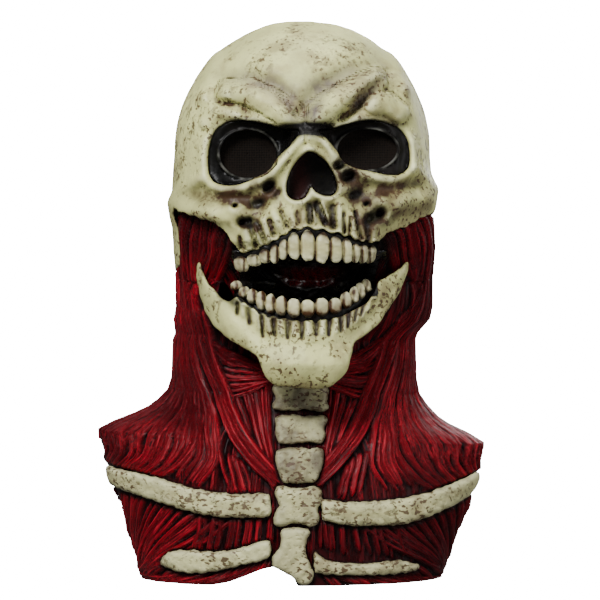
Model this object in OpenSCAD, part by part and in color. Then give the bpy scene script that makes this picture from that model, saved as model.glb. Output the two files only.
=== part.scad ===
// Full-head latex skull mask with a flayed-muscle neck and a shoulder bib.
// Frame: +Z up, the face looks along -Y, +X is the viewer's right. The bib rim stands on z = 0.
// Angles round the mask count from the face (0) towards +X (90) and the nape (180).

/* [Head] */
// Width of the skull at the cheekbones
head_w = 208; // [205:1:212]
// Depth of the cranium from the brow to the back
head_d = 220; // [216:1:224]
// Height of the whole mask, from bib rim to crown
mask_h = 445; // [440:1:450]

/* [Neck and bib] */
// Width of the neck where it leaves the head
neck_w = 192; // [190:1:195]
// Width across the two shoulder tips
shoulder_w = 306; // [302:1:312]

/* [Latex] */
// Thickness of the latex wall
wall = 3; // [2.6:0.1:3.4]
// Height of the bone castings above the muscle skin
bone_rise = 6; // [5:0.5:7]
// Glue line left between bonded castings
glue = 0.6; // [0.5:0.1:0.8]

/* [Inside] */
// Thickness of the foam fitting pads
pad_t = 11; // [8:1:12]

/* [Hidden] */

left = -1;
right = 1;
bone = "#cdc9a4";
ivory = "#e0dcc0";
muscle = "#8c0d18";
ink = "#15120f";
foam = "#3a3a3c";

// Levels, from the bib rim up
tip_z = 104;      // level of the shoulder tips
neck_z = 150;     // where neck turns into bib
throat_z = 190;   // front top edge of the neck, behind the chin
jowl_z = 200;     // top edge of the neck under the jaw's angle
nape_z = 238;     // back lower border of the skull
cheek_z = 287;    // lower border of the cheekbones
dome_z = 340;     // widest level of the cranium
dome_h = mask_h - dome_z;

function steps(a, b, n) = [for (i = [0:n]) a + (b - a) * i / n];
function fade(a, b, x) = let (t = max(0, min(1, (x - a) / (b - a)))) t * t * (3 - 2 * t);
// The angle from the face, whichever side it is on
function turn(a) = abs(a > 180 ? a - 360 : a);

// ---- Body surface: superelliptic level sections with their own front and back depths ----
section_power = 2.2;
neck_half = neck_w / 2;
shoulder_half = shoulder_w / 2;

width_rows = [
    [0, shoulder_half - 35], [33, shoulder_half - 28], [70, shoulder_half - 11], [88, shoulder_half - 5],
    [tip_z, shoulder_half], [112, shoulder_half - 1], [121, shoulder_half - 12], [130, shoulder_half - 26],
    [139, shoulder_half - 39], [148, neck_half + 7], [160, neck_half + 1], [195, neck_half],
    [206, neck_half + 5], [nape_z, neck_half + 6], [262, neck_half + 8], [cheek_z, head_w / 2],
    [300, head_w / 2], [dome_z, head_w / 2 - 2]
];
front_rows = [
    [0, 86], [60, 84], [90, 78], [110, 71], [130, 62], [neck_z, 56], [throat_z, 54],
    [nape_z, 68], [262, 92], [270, 100], [cheek_z, head_d / 2 - 7], [dome_z, head_d / 2 - 8]
];
back_rows = [
    [0, 102], [60, 103], [90, 100], [110, 95], [130, 86], [neck_z, 77], [throat_z, 76],
    [nape_z, 88], [262, 96], [cheek_z, head_d / 2 - 4], [dome_z, head_d / 2 + 2]
];

// Swellings and hollows of the skull: [angle, level, angle spread, level spread, height]
relief = [
    [22, 368, 13, 9, 8], [0, 374, 12, 9, 4], [0, 349, 7, 8, -7], [0, 331, 5, 9, 4],
    [0, 284, 18, 14, 5], [52, 305, 15, 10, 6], [80, 352, 15, 22, -6], [180, 300, 40, 30, 5]
];
function bump(b, a, z) =
    let (u = (turn(a) - b[0]) / b[2], v = (z - b[1]) / b[3]) b[4] * exp(-u * u - v * v);
function swell(a, z) = z < cheek_z - 25 ? 0 : let (h = [for (b = relief) bump(b, a, z)])
    h * [for (b = relief) 1];

// Above dome_z the section shrinks as an ellipsoid, which grows with the offset as well
function grown(z, rows, off) = z > dome_z
    ? (lookup(dome_z, rows) + off) * sqrt(max(0, 1 - pow((z - dome_z) / (dome_h + off), 2)))
    : lookup(z, rows) + off;
function oval_r(a, w, d) =
    pow(pow(abs(sin(a)) / w, section_power) + pow(abs(cos(a)) / d, section_power), -1 / section_power);
function body_r(a, z, off) =
    oval_r(a, grown(z, width_rows, off), grown(z, cos(a) > 0 ? front_rows : back_rows, off));
function polar(a, r, z) = [r * sin(a), -r * cos(a), z];
function on_body(a, z, off = 0) = polar(a, body_r(a, z, off), z);
// On the skull, s runs from 0 at level low to 1 at the pole
function on_skull(a, low, s, off) =
    let (
        rise = s * (90 + asin((dome_z - low) / dome_h)) - asin((dome_z - low) / dome_h),
        z = dome_z + (dome_h + (rise > 0 ? off : 0)) * sin(rise)
    )
    polar(a, body_r(a, z, off) + swell(a, z) * min(1, (1 - s) * 5), z);

// Depth of the front of the body at a given x, as a y value
function front_y(x, z, off = 0) = -(lookup(z, front_rows) + off)
    * pow(1 - pow(min(1, abs(x) / (lookup(z, width_rows) + off)), section_power), 1 / section_power);

// ---- Closed solids made from two grids of points, [column][row] ----
function quad(a, b, c, d) = [[a, b, c], [a, c, d]];

// A curved slab: outer and inner grid joined round their edges, columns turning towards +X
module slab(outer, inner) {
    columns = len(outer);
    rows = len(outer[0]);
    function at(side, c, r) = (side * columns + c) * rows + r;
    faces = [
        for (c = [0:columns - 2]) each concat(
            [for (r = [0:rows - 2]) each concat(
                quad(at(0, c, r), at(0, c, r + 1), at(0, c + 1, r + 1), at(0, c + 1, r)),
                quad(at(1, c, r), at(1, c + 1, r), at(1, c + 1, r + 1), at(1, c, r + 1)))],
            quad(at(0, c, 0), at(0, c + 1, 0), at(1, c + 1, 0), at(1, c, 0)),
            quad(at(0, c, rows - 1), at(1, c, rows - 1), at(1, c + 1, rows - 1), at(0, c + 1, rows - 1))),
        for (r = [0:rows - 2]) each concat(
            quad(at(0, 0, r), at(1, 0, r), at(1, 0, r + 1), at(0, 0, r + 1)),
            quad(at(0, columns - 1, r), at(0, columns - 1, r + 1),
                at(1, columns - 1, r + 1), at(1, columns - 1, r)))
    ];
    polyhedron([for (grid = [outer, inner]) for (column = grid) each column], faces, convexity = 8);
}

// A ring: the same two grids, closed round the axis. Poles, when given, close the top over.
module ring(outer, inner, poles = []) {
    columns = len(outer);
    rows = len(outer[0]);
    function at(side, c, r) = (side * columns + c % columns) * rows + r;
    pole = 2 * columns * rows;
    top = rows - 1;
    faces = [for (c = [0:columns - 1]) each concat(
        [for (r = [0:rows - 2]) each concat(
            quad(at(0, c, r), at(0, c, r + 1), at(0, c + 1, r + 1), at(0, c + 1, r)),
            quad(at(1, c, r), at(1, c + 1, r), at(1, c + 1, r + 1), at(1, c, r + 1)))],
        quad(at(0, c, 0), at(0, c + 1, 0), at(1, c + 1, 0), at(1, c, 0)),
        len(poles) > 0
            ? [[at(0, c, top), pole, at(0, c + 1, top)], [at(1, c, top), at(1, c + 1, top), pole + 1]]
            : quad(at(0, c, top), at(1, c, top), at(1, c + 1, top), at(0, c + 1, top)))];
    polyhedron([for (grid = [outer, inner]) for (column = grid) each column, each poles], faces,
        convexity = 8);
}

// A solid bar through closed sections that all have the same number of points
module bar(sections) {
    n = len(sections[0]);
    last = len(sections) - 1;
    function at(s, i) = s * n + i % n;
    faces = [
        for (s = [0:last - 1]) for (i = [0:n - 1])
            each quad(at(s, i), at(s, i + 1), at(s + 1, i + 1), at(s + 1, i)),
        for (i = [1:n - 2]) each [[at(0, 0), at(0, i + 1), at(0, i)], [at(last, 0), at(last, i), at(last, i + 1)]]
    ];
    polyhedron([for (s = sections) each s], faces, convexity = 6);
}

// ---- Skull ----
function skull_low(a) = let (b = turn(a))
    b < 34 ? 281 - 14 * pow(b / 34, 2)
    : b < 92 ? 267 + (cheek_z - 267) * fade(34, 44, b)
    : cheek_z + (nape_z - cheek_z) * fade(92, 118, b);

eye_x = 51;
eye_z = 341;
eye_half = [30, 24];
eye_tilt = 8;
eye_power = 2.6;
pupil_half = 21;     // half size of the see-through opening at the bottom of a socket
socket_front_y = -96;
socket_back_y = -70;

// Outline of an eye opening in x and z, squarish, its outer end dropping
function eye_loop(side, half) = [for (t = [0:18:342]) let (
        q = pow(pow(abs(cos(t)), eye_power) + pow(abs(sin(t)), eye_power), -1 / eye_power),
        u = half[0] * q * cos(t),
        v = half[1] * q * sin(t)
    ) [side * (eye_x + u * cos(eye_tilt) + v * sin(eye_tilt)), eye_z - u * sin(eye_tilt) + v * cos(eye_tilt)]];

nose_loop = [
    [0, 308], [7, 302], [14, 300], [20, 306], [17, 317], [9, 329], [2, 335],
    [-2, 335], [-9, 329], [-17, 317], [-20, 306], [-14, 300], [-7, 302]
];

// A prism along Y whose section is drawn in x and z
module along_y(loop, y0, y1) {
    translate([0, y1, 0]) rotate([90, 0, 0]) linear_extrude(y1 - y0) polygon(loop);
}

skull_angles = [for (a = [0:6:354]) a];
skull_steps = [for (i = [0:19]) i / 20];

module skull_shell() color(bone) difference() {
    ring(
        [for (a = skull_angles) [for (s = skull_steps) on_skull(a, skull_low(a), s, 0)]],
        [for (a = skull_angles) [for (s = skull_steps) on_skull(a, skull_low(a), s, -wall)]],
        [[0, 0, mask_h], [0, 0, mask_h - wall]]);
    for (side = [left, right]) along_y(eye_loop(side, eye_half), -140, -40);
    along_y(nose_loop, -140, -60);
}

// A black funnel from the edge of the bone opening back to the see-through opening
module eye_socket(side) {
    reach = eye_half - [glue, glue];
    pupil = [pupil_half, pupil_half - 2];
    function rim_y(p) = max(socket_front_y, front_y(p[0], eye_z, 0) + 1);
    function loop_at(half, y) = [for (p = eye_loop(side, half)) [p[0], y > -500 ? y : rim_y(p), p[1]]];
    skins = [for (inset = [0, wall - 0.5]) [
        loop_at(reach - [inset, inset], -999),
        loop_at(reach - [inset + 3, inset + 3], socket_back_y - 2 - inset),
        loop_at(pupil, socket_back_y - inset)
    ]];
    columns = len(skins[0][0]);
    function grid(k) = [for (c = [0:columns - 1]) [for (r = [2:-1:0]) skins[k][r][side > 0 ? c : columns - 1 - c]]];
    ring(grid(0), grid(1));
}
module eye_socket_left() color(ink) eye_socket(left);
module eye_socket_right() color(ink) eye_socket(right);

// The dark pocket behind the nose opening, closed at the back
nose_front_y = -100;
nose_back_y = -87;
module nose_lining() {
    middle = [0, 314];
    function loop_at(share, y) = [for (p = nose_loop)
        let (q = middle + (p - middle) * share) [q[0], y, q[1]]];
    function grid(share, y) = [for (i = [0:len(nose_loop) - 1])
        [loop_at(share, nose_front_y)[i], loop_at(share * 0.9, y)[i]]];
    color(muscle) ring(grid(0.95, nose_back_y), grid(0.8, nose_back_y - wall),
        [[0, nose_back_y, middle[1]], [0, nose_back_y - wall, middle[1]]]);
}

// The perforated screen bonded behind the opening
screen_t = 1;
module eye_screen(side) {
    y = socket_back_y + glue;
    along_y(eye_loop(side, [pupil_half + 4, pupil_half + 2]), y, y + screen_t);
}
module eye_screen_left() color(ink) eye_screen(left);
module eye_screen_right() color(ink) eye_screen(right);

// ---- Teeth ----
// Where each tooth ends and the next begins, from left to right across the mouth
upper_edges = [-58.5, -49.3, -39.5, -30, -22, -14.2, -3.2, 10, 22, 31.8, 39.6, 46, 51.8, 57];
lower_edges = [-58.5, -53.3, -47.3, -40.8, -34, -26.3, -16.8, -5.7, 6.1, 18, 27.6, 34.3, 39.5, 44.3, 48.8, 53.5];
tooth_t = 8;
tooth_gap = 0.6;
arch_half = 62;
arch_sweep = 68;   // angle from the middle of the arch to its ends
arch_depth = 50;

// Point of a dental arch at x on its front, with the arch's front at depth d
function arch_turn(x) = asin(x / arch_half);
function arch_point(turn, d, off, z) =
    [(arch_half + off) * sin(turn), -(d - arch_depth) - (arch_depth + off) * cos(turn), z];

// One tooth between two places on the arch, tapered towards its root and its cutting edge
module tooth(x0, x1, d, root, tip) {
    mid = arch_turn((x0 + x1) / 2);
    half = (arch_turn(x1 - tooth_gap / 2) - arch_turn(x0 + tooth_gap / 2)) / 2;
    function section(z, narrow, lean) = [
        for (q = [[-1, -0.35], [-0.6, 0], [0.6, 0], [1, -0.35], [0.9, -1], [-0.9, -1]])
            arch_point(mid + q[0] * half * narrow, d, q[1] * (tooth_t - lean) - lean, z)];
    stages = [[0, 0.86, 0.5], [0.3, 0.96, 0], [0.75, 1, 0], [1, 0.86, 1.5]];
    rising = tip > root;
    bar([for (i = [0:3]) let (k = stages[rising ? i : 3 - i]) section(root + (tip - root) * k[0], k[1], k[2])]);
}

// A row of teeth, root and tip levels changing by the curves towards the ends
module tooth_row(edges, d, root, tip, root_curve, tip_curve) {
    for (i = [0:len(edges) - 2]) {
        bend = pow((edges[i] + edges[i + 1]) / 2 / arch_half, 2);
        tooth(edges[i], edges[i + 1], d, root + root_curve * bend, tip + tip_curve * bend);
    }
}
module arch_strip(d, off, thick, low, high, low_curve, high_curve) {
    function grid(o) = [for (u = steps(-1, 1, 24))
        [for (z = steps(low + low_curve * u * u, high + high_curve * u * u, 2))
            arch_point(arch_sweep * u, d, o, z)]];
    slab(grid(off), grid(off - thick));
}

upper_arch_d = 111;
lower_arch_d = 97;
module upper_teeth() color(ivory) tooth_row(upper_edges, upper_arch_d, 279.4, 256, -17, -3.5);
module upper_gum() color(ink) arch_strip(upper_arch_d, -tooth_t - glue, 2.5, 262, 279, -8, -13);
module lower_teeth() color(ivory) tooth_row(lower_edges, lower_arch_d, 208, 222, 24, 19);
module lower_gum() color(ink) arch_strip(lower_arch_d, -tooth_t - glue, 2.5, 200, 213, 21, 21);

// ---- Lower jaw ----
jaw_low_rows = [[0, 163], [10, 160], [16, 158], [19, 164], [22, 180], [33, 190], [44, 200], [53, 220], [58, 238]];
jaw_high_rows = [[0, 207], [8, 207.4], [15, 209], [20, 211], [33, 219], [44, 224], [50, 234], [58, 252]];
jaw_depth_rows = [[158, 96], [175, 100], [200, 98], [240, 100]];
jaw_half_w = 96;
jaw_angles = steps(-58, 58, 29);
jaw_lows = [for (a = jaw_angles) lookup(turn(a), jaw_low_rows)];
jaw_highs = [for (a = jaw_angles) lookup(turn(a), jaw_high_rows)];
function on_jaw(a, z, off) = polar(a, 1 / sqrt(pow(sin(a) / (jaw_half_w + off), 2)
    + pow(cos(a) / (lookup(z, jaw_depth_rows) + off), 2)), z);
function jaw_grid(off) = [for (i = [0:len(jaw_angles) - 1])
    [for (z = steps(jaw_lows[i], jaw_highs[i], 7)) on_jaw(jaw_angles[i], z, off)]];
module lower_jaw() color(bone) slab(jaw_grid(0), jaw_grid(-wall));

// The foam cup that sits on the wearer's chin
module chin_cup() {
    angles = steps(-15, 15, 8);
    function grid(off) = [for (a = angles) [for (z = steps(183, 200, 4)) on_jaw(a, z, off)]];
    color(foam) slab(grid(-wall - glue), grid(-wall - glue - pad_t));
}

// ---- Soft skins that stretch when the jaw moves ----
function neck_top(a) = let (b = turn(a))
    b < 85 ? throat_z + (jowl_z - throat_z) * fade(20, 34, b) + (nape_z - 1 - jowl_z) * fade(68, 84, b)
    : b < 110 ? nape_z - 1
    : skull_low(a) - 1;

lining_top_z = 258;
lining_set_back = 6;
module mouth_lining() {
    angles = steps(-44, 44, 16);
    function grid(off) = [for (a = angles)
        [for (z = steps(neck_top(a) + 1, lining_top_z, 8)) on_body(a, z, off)]];
    color(ink) slab(grid(-lining_set_back), grid(-lining_set_back - wall));
}

// The front strip of a cheek runs in behind the jaw, and its top corner in behind the upper teeth
cheek_front = 50;
cheek_back = 109;
module cheek_skin(side) {
    function tuck(a) = -7 * (1 - fade(60, 72, a));
    function place(a, z, off) =
        let (b = a - 11 * fade(250, 268, z) * pow((cheek_back - a) / (cheek_back - cheek_front), 2))
        on_body(side * b, z, off + tuck(b));
    angles = side > 0 ? steps(cheek_front, cheek_back, 14) : steps(cheek_back, cheek_front, 14);
    function grid(off) = [for (a = angles)
        [for (z = steps(neck_top(a) + 1, skull_low(a) - 1, 10)) place(a, z, off)]];
    slab(grid(0), grid(-wall));
}
module cheek_skin_left() color(muscle) cheek_skin(left);
module cheek_skin_right() color(muscle) cheek_skin(right);

// From inside the jaw's lower border back to the front of the neck
module under_chin_skin() {
    angles = steps(-48, 48, 16);
    function rows(a, drop) = let (
            b = turn(a),
            jaw_z = lookup(b, jaw_low_rows) + 9,
            neck_z1 = 178 + 12 * fade(15, 40, b),
            from = on_jaw(a, jaw_z, -wall - 1),
            to = on_body(a, neck_z1, 1)
        ) [for (t = steps(1, 0, 5)) from + (to - from) * t + [0, 0, -drop + 5 * sin(180 * t)]];
    color(muscle) slab([for (a = angles) rows(a, wall - 0.5)], [for (a = angles) rows(a, 0)]);
}

// ---- Neck and bib ----
neck_angles = [for (a = [0:6:354]) a];
module neck_skin() {
    function grid(off) = [for (a = neck_angles)
        [for (z = steps(neck_z + glue / 2, neck_top(a), 8)) on_body(a, z, off)]];
    color(muscle) ring(grid(0), grid(-wall));
}

// How far round the body each flap reaches, level by level
flap_rows = [[0, 76], [50, 81], [95, 88], [tip_z, 89.85], [neck_z, 89.85]];
bib_levels = [0, 16, 33, 52, 70, 88, 96, tip_z, 112, 121, 130, 139, 144.5, neck_z - glue / 2];
module bib(facing) {
    function grid(off) = [for (k = steps(-1, 1, 32)) [for (z = bib_levels)
        on_body(facing + k * lookup(z, flap_rows), z, off)]];
    slab(grid(0), grid(-wall));
}
module chest_bib() color(muscle) bib(0);
module back_bib() color(muscle) bib(180);

// ---- Bone castings on the front of the neck and bib ----
// The same path with points added between its own, so that it follows the skin
function refined(path, n = 3) = concat([for (i = [0:len(path) - 2]) for (k = [0:n - 1])
    path[i] + (path[i + 1] - path[i]) * k / n], [path[len(path) - 1]]);

// A rounded bone along a path of [x, low level, high level]
module bone_bar(path) {
    function section(p) = [for (q = [[0, glue], [0.06, bone_rise * 0.6], [0.3, bone_rise], [0.7, bone_rise],
            [0.94, bone_rise * 0.6], [1, glue], [0.5, glue]])
        let (z = p[1] + (p[2] - p[1]) * q[0]) [p[0], front_y(p[0], z, q[1]), z]];
    bar([for (p = refined(path)) section(p)]);
}
// A bone block between two x values, its edges drawn in at both ends
module bone_block(x0, x1, low, high) {
    bone_bar([[x0, low + 5, high - 5], [x0 + 4, low + 1, high - 1], [(2 * x0 + x1) / 3, low, high],
        [(x0 + 2 * x1) / 3, low, high], [x1 - 4, low + 1, high - 1], [x1, low + 5, high - 5]]);
}
module throat_bone_upper() color(bone) bone_block(-22, 22, 136, 157);
module throat_bone_middle() color(bone) bone_block(-19.5, 20.5, 111, 133);
module throat_bone_lower() color(bone) bone_block(-17.5, 19, 83.5, 108);
module breastbone_upper() color(bone) bone_block(-19, 18, 48, 78.5);
module breastbone_lower() color(bone) bone_block(-18, 11, 5, 45.5);

// The two sides are sculpted separately, so they are not mirror images
collarbone_left_path = [
    [-143, 73, 84], [-136, 66, 84], [-113, 57, 79], [-86, 50, 74], [-53, 53, 71], [-31, 56, 73], [-23, 61, 71]
];
collarbone_right_path = [
    [22, 57, 67], [37, 51.5, 68.5], [61, 49, 67.5], [83, 50.5, 70.5], [104, 55, 75.5], [127, 61.5, 82.5],
    [138, 67, 86], [143, 73, 83]
];
rib_left_path = [
    [-106, 14.5, 19.5], [-97, 11.5, 25.5], [-77, 9.5, 26], [-55, 11.5, 26.5], [-39, 14.5, 34.5],
    [-27, 19.5, 37], [-23, 24, 33.5]
];
rib_right_path = [
    [14, 12, 26], [19, 9.5, 23.5], [27, 9, 18.5], [47, 9, 19.5], [70, 8.5, 20], [89, 9, 18], [98, 10.5, 14]
];
module collarbone_left() color(bone) bone_bar(collarbone_left_path);
module collarbone_right() color(bone) bone_bar(collarbone_right_path);
module rib_left() color(bone) bone_bar(rib_left_path);
module rib_right() color(bone) bone_bar(rib_right_path);

// ---- Foam pads inside the cranium ----
pad_gap = 1.3;
module skull_pad(angles, s0, s1) {
    function grid(off) = [for (a = angles) [for (s = steps(s0, s1, 4)) on_skull(a, nape_z, s, off)]];
    slab(grid(-wall - pad_gap), grid(-wall - pad_gap - pad_t));
}
module forehead_pad() color(foam) skull_pad(steps(-34, 34, 10), 0.66, 0.75);
module temple_pad_left() color(foam) skull_pad(steps(-108, -76, 6), 0.5, 0.66);
module temple_pad_right() color(foam) skull_pad(steps(76, 108, 6), 0.5, 0.66);
module nape_pad() color(foam) skull_pad(steps(150, 210, 8), 0.28, 0.46);
module crown_pad() {
    function grid(off) = [for (a = [0:15:345]) [for (s = steps(0.86, 0.97, 3)) on_skull(a, nape_z, s, off)]];
    color(foam) ring(grid(-wall - glue), grid(-wall - glue - pad_t),
        [[0, 0, mask_h - wall - glue], [0, 0, mask_h - wall - glue - pad_t]]);
}

skull_shell();
eye_socket_left();
eye_socket_right();
eye_screen_left();
eye_screen_right();
nose_lining();
upper_gum();
upper_teeth();
mouth_lining();
cheek_skin_left();
cheek_skin_right();
neck_skin();
chest_bib();
back_bib();
throat_bone_upper();
throat_bone_middle();
throat_bone_lower();
breastbone_upper();
breastbone_lower();
collarbone_left();
collarbone_right();
rib_left();
rib_right();
lower_jaw();
lower_gum();
lower_teeth();
under_chin_skin();
chin_cup();
forehead_pad();
crown_pad();
temple_pad_left();
temple_pad_right();
nape_pad();
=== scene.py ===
import math

import bpy
import numpy as np
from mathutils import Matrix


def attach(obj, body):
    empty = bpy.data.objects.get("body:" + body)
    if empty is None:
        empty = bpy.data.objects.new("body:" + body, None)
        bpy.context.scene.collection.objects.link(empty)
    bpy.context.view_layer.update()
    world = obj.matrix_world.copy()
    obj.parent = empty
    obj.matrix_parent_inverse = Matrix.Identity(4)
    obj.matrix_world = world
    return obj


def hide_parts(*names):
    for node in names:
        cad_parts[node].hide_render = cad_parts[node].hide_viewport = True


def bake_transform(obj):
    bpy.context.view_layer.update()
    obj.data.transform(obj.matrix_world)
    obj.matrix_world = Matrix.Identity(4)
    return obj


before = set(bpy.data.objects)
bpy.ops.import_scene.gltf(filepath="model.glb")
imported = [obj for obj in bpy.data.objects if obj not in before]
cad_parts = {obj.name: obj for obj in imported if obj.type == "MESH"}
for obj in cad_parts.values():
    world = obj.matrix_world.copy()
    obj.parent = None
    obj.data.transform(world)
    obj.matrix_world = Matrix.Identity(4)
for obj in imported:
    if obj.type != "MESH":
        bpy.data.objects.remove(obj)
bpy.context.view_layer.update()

# Sculpting is done in millimetres in the CAD frame, and scaled to metres when a mesh is made.
MM = 0.001
WALL = 3.0
ROLL = 0.05  # the sculpted face sits a little askew: its left features are lower than its right ones

# ---------------------------------------------------------------- numbers and fields


def ramp(value, start, end):
    """0 before start, 1 after end, smooth between."""
    t = np.clip((value - start) / (end - start), 0, 1)
    return t * t * (3 - 2 * t)


def blend_max(a, b, k):
    """The farther of two distances, with an edge rounded over k mm."""
    h = np.clip(0.5 + 0.5 * (a - b) / k, 0, 1)
    return b * (1 - h) + a * h + k * h * (1 - h)


def along(points, *coords):
    """Each cell's distance to a path, and how far along the path it is, from 0 to 1."""
    best, share = None, None
    points = list(points) if len(points) > 1 else [points[0], points[0]]
    count = len(points) - 1
    for k, (a, b) in enumerate(zip(points, points[1:])):
        run = [q - p for p, q in zip(a, b)]
        length2 = max(sum(s * s for s in run), 1e-6)
        t = np.clip(sum((c - p) * s for c, p, s in zip(coords, a, run)) / length2, 0, 1)
        dist = np.sqrt(sum((c - p - t * s) ** 2 for c, p, s in zip(coords, a, run)))
        if best is None:
            best, share = dist, (k + t) / count
        else:
            nearer = dist < best
            best = np.where(nearer, dist, best)
            share = np.where(nearer, (k + t) / count, share)
    return best, share


def rounded(points, per_side=6, closed=True):
    """A smooth loop or line through the points (Catmull-Rom)."""
    p = np.array(points, float)
    n = len(p)
    if not closed:
        p = np.vstack([2 * p[0] - p[1], p, 2 * p[-1] - p[-2]])
    out = []
    for i in range(n if closed else n - 1):
        a, b, c, d = (p[(i + k - 1) % n] for k in range(4)) if closed else p[i : i + 4]
        for t in np.arange(per_side) / per_side:
            out.append(0.5 * (2 * b + (c - a) * t + (2 * a - 5 * b + 4 * c - d) * t**2
                              + (3 * b - 3 * c + d - a) * t**3))
    if not closed:
        out.append(p[-2])
    return np.array(out)


def loop_distance(loop, u, v):
    """Distance to a closed loop in the plane, negative inside it."""
    inside = np.zeros(np.broadcast(u, v).shape, bool)
    best = np.full(inside.shape, 1e9)
    for (au, av), (bu, bv) in zip(loop, np.roll(loop, -1, 0)):
        du, dv = bu - au, bv - av
        t = np.clip(((u - au) * du + (v - av) * dv) / max(du * du + dv * dv, 1e-9), 0, 1)
        best = np.minimum(best, (u - au - t * du) ** 2 + (v - av - t * dv) ** 2)
        crosses = (av > v) != (bv > v)
        if abs(dv) > 1e-9:
            inside ^= crosses & (u < au + (v - av) * du / dv)
    return np.where(inside, -1, 1) * np.sqrt(best)


def mixed(seed, *coords, scale=1.0, octaves=3):
    """Smooth repeatable noise from -1 to 1, a sum of turned sine waves."""
    rng = np.random.default_rng(seed)
    total, weight = 0, 0
    for k in range(octaves):
        for _ in range(5):
            spin = rng.normal(size=len(coords))
            spin /= np.linalg.norm(spin)
            rate = (2**k) / scale * rng.uniform(0.7, 1.4)
            wave = sum(c * s for c, s in zip(coords, spin)) * rate
            total = total + np.sin(wave * 2 * math.pi + rng.uniform(0, 6.3)) * 0.55**k
        weight += 5 * 0.55**k
    return total / weight * 1.8


def box_mean(field, axis, n):
    """Mean of each cell and its n neighbours on either side, along one axis."""
    pad = [(0, 0)] * field.ndim
    pad[axis] = (n + 1, n)
    total = np.cumsum(np.pad(field, pad, mode="edge"), axis=axis, dtype=field.dtype)
    size = field.shape[axis]
    upper = np.take(total, range(2 * n + 1, 2 * n + 1 + size), axis)
    return (upper - np.take(total, range(size), axis)) / (2 * n + 1)


# ---------------------------------------------------------------- the body surface

# The CAD's level sections, with sharper shoulder corners: half width, front depth and back depth by level
POWER = 2.2
DOME_Z, DOME_H = 340.0, 105.0
WIDTHS = [(0, 122), (24, 129), (43, 135), (62, 142), (88, 150), (104, 154.5), (113, 154), (119, 143),
          (126, 126), (132, 115), (139, 107), (148, 99.5), (160, 96.5), (195, 95.5), (206, 101),
          (238, 101), (262, 103), (287, 104), (300, 104), (340, 102)]
FRONTS = [(0, 86), (60, 84), (90, 78), (110, 71), (130, 62), (150, 56), (190, 54), (238, 68), (262, 92),
          (270, 100), (287, 103), (340, 102)]
BACKS = [(0, 102), (60, 103), (90, 100), (110, 95), (130, 86), (150, 77), (190, 76), (238, 88), (262, 96),
         (287, 106), (340, 112)]
# Half angle of the chest flap and of the back flap, by level
FLAP = [(0, 79), (50, 83), (95, 88), (104, 90), (152, 90)]
# The torso hangs a little to the viewer's left, and its left shoulder sits higher
SWAYS = [(0, -9), (115, -8), (150, -6.5), (190, -6), (206, 0), (216, 1.8), (262, 1.8), (285, 0)]
TILTS = [(0, 0), (60, 1), (128, 1), (165, 0)]
TILT = 0.038


def row(z, rows):
    """A table's value at a level, or at an angle."""
    zs, values = zip(*rows)
    return np.interp(z, zs, values)


def polar(angle, r, z):
    """Points from angles in degrees, radii and levels."""
    a = np.radians(angle)
    return np.stack(np.broadcast_arrays(r * np.sin(a), -r * np.cos(a), z), -1)


def body_r(angle, z, off=0.0):
    """Radius of the body surface at an angle from the face (degrees) and a level."""
    s, c = np.abs(np.sin(np.radians(angle))), np.cos(np.radians(angle))
    shrink = np.sqrt(np.clip(1 - np.maximum(z - DOME_Z, 0) ** 2 / (DOME_H + off) ** 2, 0.0001, 1))
    w = (row(z, WIDTHS) + off) * shrink
    d = (np.where(c > 0, row(z, FRONTS), row(z, BACKS)) + off) * shrink
    return ((s / w) ** POWER + (np.abs(c) / d) ** POWER) ** (-1 / POWER)


def on_body(angle, z, off=0.0):
    """Points of the body surface, or off mm outside it."""
    return polar(angle, body_r(angle, z) + off, z)


def settled(points):
    """Points of the straight torso, moved to how it hangs."""
    x, y, z = points[..., 0], points[..., 1], points[..., 2]
    return np.stack([x + row(z, SWAYS), y, z - TILT * x * row(z, TILTS)], -1)


def straightened(x, z):
    """x and z in the front view, taken back to the straight torso."""
    level = z
    for _ in range(3):
        across = x - row(level, SWAYS)
        level = z + TILT * across * row(level, TILTS)
    return across, level


def turn(x, y):
    """Angle round the body in degrees: 0 at the face, 90 at +X, 180 at the nape."""
    return np.degrees(np.arctan2(x, -y))


def angle_at(x, z):
    """Angle of the front body point at x."""
    a = np.linspace(0, 89, 179)
    across = body_r(a, z) * np.sin(np.radians(a))
    return math.copysign(float(np.interp(abs(x), across, a)), x)


# ---------------------------------------------------------------- clay: a grid of signed distances


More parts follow.
